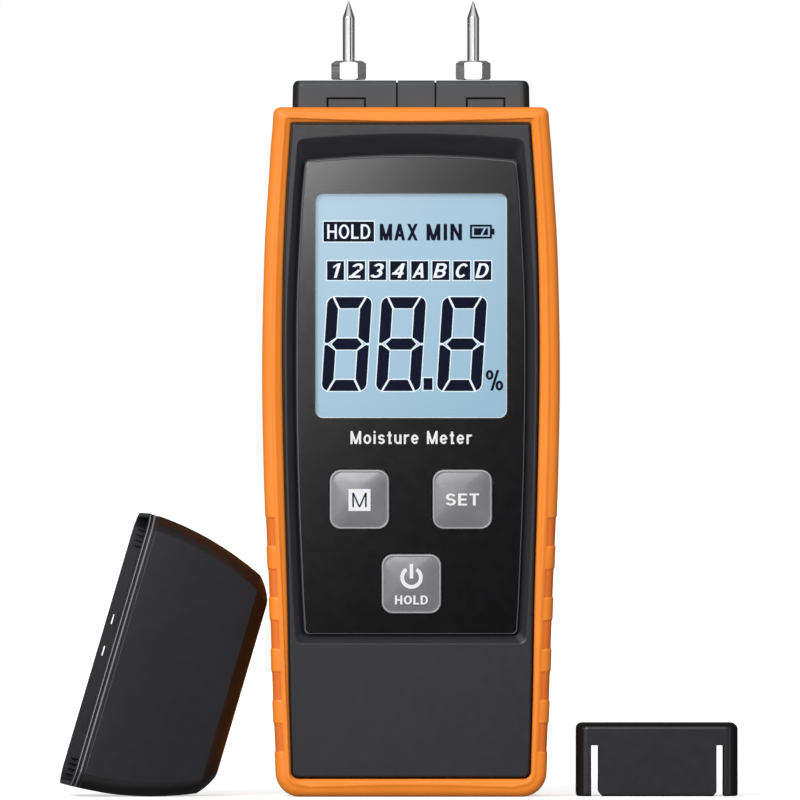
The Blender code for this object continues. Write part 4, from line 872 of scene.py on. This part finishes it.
def letters(s):
    """Width and strokes of each letter at a height of 1.

    s is the width of an upright stroke, t that of a level one, h the half height of a bowl,
    x the height of a small letter and u the half height of its bowl.
    """
    t = 0.85 * s
    h = 0.25 + t / 4
    x = 0.73
    u = x / 4 + t / 4
    stem = bar(0, 0, s, 1)
    return {
        "A": (0.76, [slant(0, 0.38 - s / 2, s), slant(0.76 - s, 0.38 - s / 2, s),
                     bar(0.18, 0.22, 0.58, 0.22 + t)]),
        "B": (0.70, [stem, bar(s, 1 - t, 0.36, 1), bar(s, 0.5 - t / 2, 0.36, 0.5 + t / 2), bar(s, 0, 0.36, t),
                     bowl(0.36, 1 - h, 0.31, h, -90, 90, s), bowl(0.36, h, 0.34, h, -90, 90, s)]),
        "C": (0.70, [bowl(0.37, 0.5, 0.37, 0.5, 42, 318, s)]),
        "D": (0.72, [stem, bar(s, 1 - t, 0.32, 1), bar(s, 0, 0.32, t),
                     bowl(0.32, 0.5, 0.40, 0.5, -90, 90, s)]),
        "E": (0.60, [stem, bar(s, 0, 0.60, t), bar(s, 0.5 - t / 2, 0.56, 0.5 + t / 2),
                     bar(s, 1 - t, 0.60, 1)]),
        "H": (0.72, [stem, bar(0.72 - s, 0, 0.72, 1), bar(s, 0.5 - t / 2, 0.72 - s, 0.5 + t / 2)]),
        "I": (s, [stem]),
        "L": (0.56, [stem, bar(s, 0, 0.56, t)]),
        "M": (0.86, [stem, bar(0.86 - s, 0, 0.86, 1), slant(0.43 - s / 2, 0, s),
                     slant(0.43 - s / 2, 0.86 - s, s)]),
        "N": (0.72, [stem, bar(0.72 - s, 0, 0.72, 1), slant(0.72 - s, 0, s)]),
        "O": (0.78, oval(0.39, 0.5, 0.39, 0.5, s)),
        "S": (0.68, [bowl(0.34, 1 - h, 0.33, h, 15, 270, s), bowl(0.34, h, 0.34, h, -165, 90, s)]),
        "T": (0.66, [bar(0.33 - s / 2, 0, 0.33 + s / 2, 1), bar(0, 1 - t, 0.66, 1)]),
        "X": (0.74, [slant(0, 0.74 - s, s), slant(0.74 - s, 0, s)]),
        "1": (0.40, [bar(0.40 - s, 0, 0.40, 1), [(0, 0.66), (0, 0.66 + t), (0.40 - s, 1), (0.40 - s, 0.84)]]),
        "2": (0.62, [bowl(0.31, 0.70, 0.31, 0.30, -28, 165, s), slant(0, 0.36, 1.2 * s, 0.6 * t, 0.56),
                     bar(0, 0, 0.62, t)]),
        "3": (0.62, [bowl(0.29, 1 - h, 0.30, h, -90, 155, s), bowl(0.29, h, 0.33, h, -155, 90, s)]),
        "4": (0.66, [bar(0.40, 0, 0.40 + s, 1), bar(0, 0.22, 0.66, 0.22 + t), slant(0, 0.40, s, 0.22, 1)]),
        "o": (0.62, oval(0.31, x / 2, 0.31, x / 2, s)),
        "i": (s, [bar(0, 0, s, x), bar(0, 0.85, s, 1)]),
        "s": (0.56, [bowl(0.28, x - u, 0.27, u, 15, 270, s), bowl(0.28, u, 0.28, u, -165, 90, s)]),
        "t": (0.38, [bar(0.10, 0, 0.10 + s, 0.95), bar(0, x - t, 0.36, x), bar(0.10, 0, 0.36, t)]),
        "u": (0.58, [bar(0, 0.28, s, x), bar(0.58 - s, 0, 0.58, x),
                     bowl(0.29, 0.28, 0.29, 0.28, 180, 360, s)]),
        "r": (0.40, [bar(0, 0, s, x), bowl(0.36, x - 0.28, 0.36, 0.28, 75, 170, s)]),
        "e": (0.60, [bowl(0.30, x / 2, 0.30, x / 2, 0, 180, s), bowl(0.30, x / 2, 0.30, x / 2, 180, 325, s),
                     bar(0.5 * s, x / 2 - t / 2, 0.60 - s / 2, x / 2 + t / 2)]),
        "%": (0.90, [*oval(0.20, 0.76, 0.20, 0.24, s), *oval(0.70, 0.24, 0.20, 0.24, s),
                     slant(0.24, 0.56, s)]),
        " ": (0.30, []),
    }


def lettering(words, centre, width, height, stem=0.20, shear=0.0, space=0.15):
    """Outlines of plain block lettering, fitted to a width and a height."""
    alphabet = letters(stem)
    strokes, reach = [], 0.0
    for letter in words:
        wide, marks = alphabet[letter]
        strokes += [[(reach + x + shear * (z - 0.5), z) for x, z in mark] for mark in marks]
        reach += wide + space
    reach -= space
    return [[(centre[0] + (x / reach - 0.5) * width, centre[1] + (z - 0.5) * height) for x, z in mark]
            for mark in strokes]


def battery_symbol():
    """A battery's outline and tip, with its charge as two pieces cut apart by a slant."""
    low, high = 112.4, 113.8
    charge = [[(12.6, low), (13.9, low), (14.6, high), (12.6, high)],
              [(14.3, low), (15.4, low), (15.4, high), (15.0, high)]]
    return frame_bars((11.8, 111.7), (16.2, 114.5), 0.42) + [bar(16.1, 112.5, 16.7, 113.7)] + charge


def make_display():
    face = cuboid("lcd_face", *LCD, ("lcd_light",))
    soften(face, 0.1, 2)
    even_shading(face)
    place(face, "case", ["lcd_glass"], "lcd_glass")
    blocks, light = [], []
    for left in (-17.9, -7.05, 5.15):
        blocks += digit_segments(left, 81.2)
    blocks.append(bar(2.5, 81.4, 4.3, 83.8))
    for index, letter in enumerate("1234ABCD"):
        x = -16.8 + 4.21 * index
        blocks.append(bar(x, 103.4, x + 3.4, 107.2))
        light += lettering(letter, (x + 1.7, 105.3), 1.3 if letter == "1" else 2.25, 2.9, 0.18, 0.25)
    blocks.append(bar(-17.5, 111.1, -7.4, 115.1))
    light += lettering("HOLD", (-12.45, 113.1), 8.6, 2.9, 0.165, 0.0, 0.16)
    dark = lettering("MAX", (-2.45, 113.0), 7.6, 3.3, 0.225, 0.0, 0.14)
    dark += lettering("MIN", (6.65, 113.0), 7.1, 3.3, 0.215, 0.0, 0.20)
    dark += lettering("%", (16.7, 83.35), 3.5, 4.1, 0.14)
    dark += battery_symbol()
    halos = [grown(outline, 0.2) for outline in blocks]
    layers = (("lcd_mark_halos", halos, 0.04, "lcd_halo"),
              ("lcd_dark_marks", blocks + dark, 0.07, "lcd_segment"),
              ("lcd_light_marks", light, 0.10, "lcd_halo"))
    for name, outlines, proud, material in layers:
        plates(name, outlines, LCD[0].y - proud, INK_THICK, material, "case", "lcd_glass")


def make_title():
    title = lettering("Moisture Meter", (0.0, 71.9), 24.2, 2.6, 0.17, 0.0, 0.19)
    plates("panel_title", title, PANEL[0].y - 0.02, 0.05, "white_print", "case", "panel_gloss")


# ---------------------------------------------------------------- keys
def make_keys():
    """Domed caps whose rim band is a lighter grey as a painted highlight, each on its flange and plunger."""
    side = [(0.0, -9.0), (0.0, -13.1), (0.04, -13.30), (0.14, -13.44)]
    rim = [(0.22, -13.54), (0.31, -13.62), (0.38, KEY_FRONT + KEY_DOME)]
    dome = (0.94, 0.85, 0.7, 0.5, 0.3, 0.12)
    bands = [0] * (len(side) - 1) + [1] * len(rim) + [0] * len(dome)
    within = rim[-1][0]
    for key, (x, z) in KEYS.items():
        rings = []
        for inward, y in side + rim:
            size = KEY_SIZE - 2 * inward
            rings.append(at_depth(rounded(x, z, size, size, KEY_R - inward), y))
        for share in dome:
            half = (KEY_SIZE / 2 - within) * share
            corner = min(half * 0.98, KEY_R - within + (1 - share) * 1.6)
            outline = rounded(x, z, 2 * half, 2 * half, corner)
            rings.append(at_depth(outline, KEY_FRONT + KEY_DOME * share ** 2))
        button = finished(f"{key}_button", loft_mesh(rings, True, bands), ("key_face", "key_rim_painted_highlight"))
        half = KEY_SIZE / 2 + 1.0
        flange = prism_y(f"{key}_flange", bar(x - half, z - half, x + half, z + half), -9.7, -8.9)
        plunger = rod(f"{key}_plunger", 1.5, (x, -9.4, z), (x, box_mm(f"{key}_key")[1].y, z))
        boolean(button, [flange, plunger], "UNION")
        shade(button, 50.0)
        place(button, f"{key}_key", [f"{key}_key"], "key_plastic")


def make_legends():
    """Printed marks on the keys; they stand just proud of the domes and reach down into them."""
    proud, deep = KEY_FRONT - 0.002, 0.4
    x, z = KEYS["mode"]
    square = prism_y("mode_square", rounded(x, z - 0.1, 4.4, 4.4, 0.1), proud, proud + deep)
    strokes = lettering("M", (x, z - 0.1), 2.9, 2.9, 0.10)
    letter = plates("mode_letter", strokes, proud - 0.004, deep, "lcd_segment")
    legend = joined("mode_legend", [(square, 0), (letter, 1)], ("white_print", "lcd_segment"))
    place(legend, "mode_key", (), "key_plastic")
    strokes = lettering("SET", KEYS["set"], 6.7, 2.4, 0.185)
    plates("set_legend", strokes, proud, deep, "white_print", "set_key", "key_plastic")
    x, z = KEYS["power"]
    ring_z = z + 1.3
    ring = arc((x, ring_z), 2.25, 58, -238, 40) + arc((x, ring_z), 1.5, -238, 58, 40)
    symbol = lettering("HOLD", (x, z - 3.2), 6.6, 1.8, 0.20)
    symbol += [ring, bar(x - 0.36, ring_z - 0.2, x + 0.36, ring_z + 2.7)]
    plates("power_legend", symbol, proud, deep, "white_print", "power_key", "key_plastic")


# ---------------------------------------------------------------- probe end
def make_terminal_block():
    """The block with its chamfered top, neck, two latch windows with tongues, seams and pin bores."""
    half_x, half_y, top = BLOCK[1]
    base = BODY_TOP - 2.0
    chamfer = [(0.0, base), (0.12, top - 1.2), (0.28, top - 0.7), (0.5, top - 0.32), (0.8, top - 0.1),
               (1.2, top)]
    rings = [at_height(rounded(0.0, 0.0, 2 * (half_x - inward), 2 * (half_y - 0.8 * inward), 2.0), z)
             for inward, z in chamfer]
    block = finished("terminal_head", loft_mesh(rings), ("block_plastic", "block_end_painted_shade", "gap_painted_shade"))
    boolean(block, [cuboid("neck", (-19.7, -8.0, BLOCK[0].z), (19.7, 8.0, base + 1.0))], "UNION")
    ahead, above, floor = -half_y - 2.0, top + 1.6, 0.7 - half_y
    cutters = [cuboid(f"latch_{x}", (x, ahead, 138.05), (x + LATCH_WIDTH, floor, 140.0)) for x in LATCHES]
    for x in SEAMS:
        left, right = x - SEAM_HALF, x + SEAM_HALF
        cutters.append(cuboid(f"seam_{x}", (left, ahead, 137.0), (right, floor, above)))
        cutters.append(cuboid(f"seam_top_{x}", (left, ahead, top - 0.4), (right, half_y + 2.0, above)))
    cutters += [rod(f"bore_{name}", 2.3, (x, 0, 130), (x, 0, 146)) for name, x in PROBES.items()]
    boolean(block, cutters)
    tongues = [bar(x + 0.38, 137.9, x + LATCH_WIDTH - 0.38, 139.6) for x in LATCHES]
    boolean(block, [prism_y("tongue", outline, 0.2 - half_y, 1.0 - half_y) for outline in tongues], "UNION")
    soften(block, 0.08, 2, 42.0)
    for face in block.data.polygons:
        x, y, z = face.center / MM
        # Faces deep in the latch windows and seams get near-black painted shade.
        if z < 140.1 and 0.3 < y + half_y < 0.8:
            face.material_index = 2
        # Faces on the rounded ends get darker plastic as painted shade.
        elif abs(x) > half_x - 1.4:
            face.material_index = 1
    even_shading(block)
    place(block, "case", ["terminal_block"], "block_plastic")


def make_probes():
    """Hexagonal collars, their corners cut back by a cone, and the needles that stand in them."""
    upward = (0, 0, 1)
    for name, x in PROBES.items():
        (left, _, low), (right, _, high) = box_mm(f"probe_collar_{name}")
        corner = (right - left) / 2
        hexagon = arc((x, 0.0), corner, 0, 300, 5)
        collar = prism_z(f"hex_collar_{name}", hexagon, low, high, ("collar_nickel",))
        profile = [(corner * 0.93, low - 0.01), (corner * 1.05, low + 0.5), (corner * 1.05, high - 0.62),
                   (corner * 0.74, high + 0.01)]
        boolean(collar, [turned("cone", profile, (x, 0, 0), upward, segments=96)], "INTERSECT")
        boolean(collar, [rod("bore", 1.32, (x, 0, low - 1.0), (x, 0, high + 1.0), 64)])
        soften(collar, 0.07, 2, 30.0)
        even_shading(collar, 30.0)
        place(collar, "case", [f"probe_collar_{name}"], "bright_steel")
        (left, _, foot), (right, _, tip) = box_mm(f"probe_pin_{name}")
        radius = (right - left) / 2
        profile = [(radius, foot), (radius, tip - 3.3), (radius - 0.02, tip - 3.2),
                   (radius - 0.10, tip - 3.05), (0.13, tip - 0.12), (0.07, tip - 0.02), (0.02, tip)]
        turned(f"needle_{name}", profile, (x, 0, 0), upward, ("pin_steel",), 64, body="case",
               nodes=[f"probe_pin_{name}"], slot="bright_steel")


# ---------------------------------------------------------------- batteries
def make_cells():
    """Cells from the plated foot over the wrap and the copper band to the positive tip."""
    for index in CELLS:
        low, high = box_mm(f"battery_cell_{index}")
        radius = (high.x - low.x) / 2
        foot = [(4.2, 0.0), (4.5, 0.05), (4.75, 0.3), (5.0, 0.35)]
        wrap = [(5.15, 0.5), (radius, 0.8), (radius, 33.0)]
        band = [(radius, 33.02), (radius, 42.9), (5.1, 43.3), (4.8, 43.45), (4.5, 43.4)]
        tip = [(2.3, 43.4), (2.1, 43.5), (1.9, 43.7), (1.88, 44.3), (1.7, 44.48), (0.3, 44.5)]
        bands = [2] * (len(foot) - 1) + [0] * len(wrap) + [1] * len(band) + [2] * len(tip)
        direction, start = ((0, 0, 1), low.z) if index != 2 else ((0, 0, -1), high.z)
        origin = ((low.x + high.x) / 2, (low.y + high.y) / 2, start)
        turned(f"cell_{index}", foot + wrap + band + tip, origin, direction,
               ("cell_wrap", "cell_copper_band", "plated_spring_steel"), 64, bands, body="case",
               nodes=[f"battery_cell_{index}"], slot="cell_wrap")


def make_springs():
    """Conical coils, wide at the contact plate and narrow at the cell."""
    wire, turns, steps = 0.35, 3.5, 140
    for index in CELLS:
        low, high = box_mm(f"battery_spring_{index}")
        cell_low, cell_high = box_mm(f"battery_cell_{index}")
        axis = (cell_low + cell_high) / 2
        start, end = (low.z + wire, high.z - wire) if index != 2 else (high.z - wire, low.z + wire)
        curve = bpy.data.curves.new(f"coil_spring_{index}", "CURVE")
        curve.dimensions = "3D"
        curve.bevel_depth = wire * MM
        curve.bevel_resolution = 4
        curve.use_fill_caps = True
        spline = curve.splines.new("POLY")
        spline.points.add(steps)
        for i, point in enumerate(spline.points):
            t = i / steps
            radius, angle = 3.6 - 1.6 * t, 2 * math.pi * turns * t
            x, y = axis.x + radius * math.cos(angle), axis.y + radius * math.sin(angle)
            point.co = (x * MM, y * MM, (start + (end - start) * t) * MM, 1.0)
        curve.materials.append(MATS["plated_spring_steel"])
        place(linked(f"coil_spring_{index}", curve), "case", [f"battery_spring_{index}"], "spring_steel")


# ---------------------------------------------------------------- loose pieces
def creased_corner(steps):
    """A quarter turn from (1, 0) to (0, 1) that meets both sides at a slight crease."""
    start, end = math.radians(CREASE_DEGREES), math.radians(90 - CREASE_DEGREES)
    points = []
    for i in range(steps + 1):
        a = start + (end - start) * i / steps
        points.append(((math.cos(a) - math.cos(end)) / (math.cos(start) - math.cos(end)),
                       (math.sin(a) - math.sin(start)) / (math.sin(end) - math.sin(start))))
    return points


def cap_ring(height, shrink, radius):
    """One ring of the cap in its own frame, at a height above its mouth."""
    share = min(max(height / CAP_HEIGHT, 0.0), 1.0)
    bulge = CAP_BOW * 4 * share * (1 - share)
    half_x = CAP_MOUTH[0] + (CAP_END[0] - CAP_MOUTH[0]) * share + bulge - shrink - radius
    half_y = CAP_MOUTH[1] + (CAP_END[1] - CAP_MOUTH[1]) * share + bulge / 3 - shrink - radius
    ring = []
    for side_x, side_y in ((1, -1), (1, 1), (-1, 1), (-1, -1)):
        corner = creased_corner(8)
        if side_x != side_y:
            corner.reverse()
        ring += [(side_x * (half_x + radius * x), side_y * (half_y + radius * y), height) for x, y in corner]
    return ring


def cap_details():
    """Four ribs in each corner of the cap's mouth and two snap ridges, in the cap's own frame."""
    for side_x in (-1, 1):
        for side_y in (-1, 1):
            for number in range(4):
                x = side_x * (25.6 - number * 1.1)
                near, far = sorted((side_y * 12.2, side_y * 11.4))
                yield cuboid(f"rib_{side_x}_{side_y}_{number}", (x, near, 0.7), (x + 0.4, far, 9.0))
        low_x, high_x = sorted((side_x * 9.0, side_x * 17.0))
        yield cuboid(f"snap_{side_x}", (low_x, -12.3, 3.2), (high_x, -11.2, 4.4))


def make_cap():
    """The tipped-over cap: a tapered shell with a grooved lip, ribs in its corners and two slits."""
    lip = [(0.0, 0.25), (0.08, 0.08), (0.25, 0.0), (0.42, 0.08), (0.5, 0.3), (0.78, 0.3), (0.86, 0.08),
           (1.03, 0.0), (1.2, 0.08), (1.28, 0.3), (1.7, 0.3), (1.78, 0.1), (1.95, 0.0)]
    lit_crests = ((0.06, 0.30), (0.92, 1.16))
    side = [(height, 0.0) for height in (4.0, 7.0, 10.0, 13.0, 16.0, 19.0, 22.0, 24.98)]
    rings = [cap_ring(height, shrink, CAP_CORNER) for height, shrink in lip + side]
    for inward, up in creased_corner(8):
        shrink = CAP_CORNER * (1 - inward)
        rings.append(cap_ring(CAP_HEIGHT - CAP_CORNER * (1 - up), shrink, CAP_CORNER - 0.6 * shrink))
    shell = finished("cap_shell", loft_mesh(rings), ("cap_plastic",))
    hollow = [(-1.0, 0.8), (2.2, 0.85), (2.4, CAP_WALL - 0.1), (8.0, CAP_WALL), (16.0, CAP_WALL),
              (24.0, CAP_WALL), (25.6, 2.4), (26.2, 3.6)]
    inside = loft_mesh([cap_ring(height, shrink, 2.0) for height, shrink in hollow])
    cutters = [finished("cap_hollow", inside)]
    cutters += [cuboid(f"slit_{x}", (x, 10.0, 1.06), (x + 2.0, 16.0, 1.34)) for x in (-7.3, -0.7)]
    boolean(shell, cutters)
    parts = [(part, 0) for part in (shell, *cap_details())]
    cap = joined("cap", parts, ("cap_plastic", "cap_crest_painted_highlight", "cap_side_painted_shade"))
    for face in cap.data.polygons:
        x, y, z = face.center / MM
        outward = x * face.normal.x + y * face.normal.y > 0
        # Outward faces on the lip's crests get a light painted highlight.
        if outward and any(start < z < end for start, end in lit_crests):
            face.material_index = 1
        # Other outward faces that turn away from the front get darker painted shade.
        elif outward and abs(face.normal.y) < 0.93 and z > 2.0:
            face.material_index = 2
    cap.data.transform(CAP_TURN.to_4x4())
    right = max(vertex.co.x for vertex in cap.data.vertices)
    low = min(vertex.co.z for vertex in cap.data.vertices)
    cap.data.transform(Matrix.Translation((CAP[1].x * MM - right, CAP_Y * MM, CAP[0].z * MM - low)))
    even_shading(cap, 16.0)
    place(cap, "cap", ["protective_cap"], "cap_plastic")


def make_guard():
    """The pin guard: a rounded block on its open side, with a slot and a socket for each pin."""
    centre = (GUARD[0].x + GUARD[1].x) / 2
    width, depth, height = GUARD[1].x - GUARD[0].x, 2 * GUARD[1].y, GUARD[1].z
    corner_r, top_r, foot_r = 2.4, 1.2, 0.5
    profile = arc((-foot_r, foot_r), foot_r, -90, 0, 4) + arc((-top_r, height - top_r), top_r, 0, 90, 8)
    rings = [at_height(rounded(centre, 0.0, width + 2 * inward, depth + 2 * inward, corner_r + inward), z)
             for inward, z in profile]
    guard = finished("guard_block", loft_mesh(rings), ("cap_plastic", "guard_side_painted_shade"))
    cutters = []
    for side in (-1, 1):
        x = centre + 0.1 + side * GUARD_SLOT_X
        cutters.append(cuboid(f"slot_{side}", (x - 0.72, -BEHIND, -1.0), (x + 0.72, BEHIND, 10.2)))
        inner = x - side * 0.5
        lead_in = [(inner, -0.2), (inner, 1.1), (inner - side * 1.1, -0.2)]
        cutters.append(prism_y(f"lead_in_{side}", lead_in, -BEHIND, BEHIND))
        cutters.append(rod(f"socket_{side}", 1.5, (x, 0.0, -1.0), (x, 0.0, 11.2)))
    boolean(guard, cutters)
    for face in guard.data.polygons:
        # Faces that turn away from the front get darker painted shade.
        if abs(face.normal.y) < 0.93:
            face.material_index = 1
    even_shading(guard)
    place(guard, "guard", ["pin_guard"], "cap_plastic")


# ---------------------------------------------------------------- carried-over parts
CARRIED = {
    "diffuser_plastic": ("backlight_diffuser", "backlight_led"),
    "frame_plastic": ("lcd_frame",),
    "elastomer": ("zebra_strip_lower", "zebra_strip_upper"),
    "solder_mask": ("main_board",),
    "chip_resin": ("controller_chip", "buzzer", "mode_switch", "set_switch", "power_switch"),
    "can_metal": ("crystal_can",),
    "stud_brass": ("probe_stud_left", "probe_stud_right"),
    "lead_red": ("sense_lead_right", "battery_lead_red"),
    "lead_black": ("sense_lead_left", "battery_lead_black"),
    "plated_spring_steel": ("contact_plate_lower_single", "contact_plate_lower_pair",
                            "contact_plate_upper_single", "contact_plate_upper_pair",
                            "board_screw_left", "board_screw_right"),
}


def dress_carried():
    """Gives the nodes that show their CAD shape a material each."""
    for key, nodes in CARRIED.items():
        for node in nodes:
            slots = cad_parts[node].data.materials
            slots.clear()
            slots.append(MATS[key])


# ---------------------------------------------------------------- studio, in metres
def sheet(name, half_x, half_y, material):
    """A flat sheet for the studio, which lights nothing."""
    bm = bmesh.new()
    bmesh.ops.create_grid(bm, x_segments=8, y_segments=8, size=1.0)
    bmesh.ops.scale(bm, vec=(half_x, half_y, 1.0), verts=bm.verts)
    made = mesh_object(name, bm)
    made.data.materials.append(material)
    made.visible_diffuse = False
    return made


def make_floor():
    """A white sheet that glows faintly, as a lit sweep does, so that it meets the white background."""
    made, shader = principled("pale_floor", (0.85, 0.85, 0.85), 0.7, Specular_IOR_Level=0.1,
                              Emission_Color=(1.0, 1.0, 1.0, 1.0), Emission_Strength=FLOOR_GLOW)
    colour = blend_colours(made, noise(made, 400.0), (0.84, 0.84, 0.84), (0.86, 0.86, 0.86))
    made.node_tree.links.new(colour, shader.inputs["Base Color"])
    floor = sheet("floor", 12.0, 12.0, made)
    floor.location.z = CAD_BOX[0].z - 0.02 * MM
    floor.visible_glossy = False


def dark_card(name, location, half_x, half_y, turn):
    """An upright dark card, seen only in reflections: it keeps gloss black dark and draws lines in metal."""
    card = sheet(name, half_x, half_y, principled(f"{name}_black", (0.01, 0.01, 0.01), 0.9)[0])
    card.location = location
    card.rotation_euler = (math.pi / 2, 0.0, math.radians(turn))
    card.visible_camera = False
    card.visible_shadow = False
    card.visible_transmission = False


def aim(obj, target):
    obj.rotation_euler = (Vector(target) - obj.location).to_track_quat("-Z", "Y").to_euler()


def add_sun(name, strength, direction, angle):
    data = bpy.data.lights.new(name, "SUN")
    data.energy = strength
    data.angle = math.radians(angle)
    made = linked(name, data)
    made.location = Vector(direction) * 2.0
    aim(made, (0.0, 0.0, 0.0))


def add_softbox(name, power, location, target, size_x, size_y):
    data = bpy.data.lights.new(name, "AREA")
    data.energy = power
    data.shape = "RECTANGLE"
    data.size, data.size_y = size_x, size_y
    made = linked(name, data)
    made.location = location
    made.visible_camera = False
    aim(made, target)


def make_world():
    """White to the camera, bright in front in reflections, and as a light coming mostly from above."""
    world = bpy.data.worlds.new("studio")
    bpy.context.scene.world = world
    world.use_nodes = True
    tree = world.node_tree
    split = tree.nodes.new("ShaderNodeSeparateXYZ")
    tree.links.new(tree.nodes.new("ShaderNodeTexCoord").outputs["Generated"], split.inputs["Vector"])
    path = tree.nodes.new("ShaderNodeLightPath")
    above = map_range(tree, split.outputs["Y"], (0.4, 0.95), (WORLD_LIGHT, WORLD_BEHIND))
    light = map_range(tree, split.outputs["Z"], (-0.5, 0.5), (WORLD_BELOW, above))
    gloss = map_range(tree, split.outputs["Y"], (-0.75, -0.05), (GLOSS_FRONT, GLOSS_BACK))
    lighting = map_range(tree, path.outputs["Is Glossy Ray"], (0.0, 1.0), (light, gloss))
    strength = map_range(tree, path.outputs["Is Camera Ray"], (0.0, 1.0), (lighting, 1.0))
    background = tree.nodes["Background"]
    background.inputs["Color"].default_value = (1.0, 1.0, 1.0, 1.0)
    tree.links.new(strength, background.inputs["Strength"])


def make_camera():
    """A long lens straight in front, which sees the meter as good as flat."""
    data = bpy.data.cameras.new("camera")
    data.lens = 800.0
    data.sensor_width = 36.0
    data.clip_start = 0.01
    view_width = 0.160
    camera = linked("camera", data)
    camera.location = (-0.0022, -HALF_DEPTH * MM - view_width * data.lens / data.sensor_width, 0.0794)
    camera.rotation_euler = (math.pi / 2, 0.0, 0.0)
    bpy.context.scene.camera = camera
    bpy.context.scene.view_settings.view_transform = "Standard"


def make_studio():
    make_floor()
    make_world()
    dark_card("front_card", (0.0, -0.40, -0.213), 0.35, 0.35, 0.0)
    dark_card("side_card", (0.28, -0.42, 0.35), 0.10, 0.30, 34.0)
    add_sun("key", 2.05, (-0.40, -0.78, 0.50), 20)
    add_softbox("upper_left_box", 0.19, (-0.045, -0.374, 0.155), (0.0, 0.0, 0.09), 0.06, 0.05)
    add_softbox("left_box", 0.045, (-0.065, -0.374, 0.088), (0.0, 0.0, 0.06), 0.03, 0.045)
    make_camera()


make_bumper()
make_front_housing()
make_rear_housing()
make_battery_door()
make_label()
make_screws()
make_panel()
make_window_edge()
make_display()
make_title()
make_keys()
make_legends()
make_terminal_block()
make_probes()
make_cells()
make_springs()
make_cap()
make_guard()
dress_carried()
make_studio()
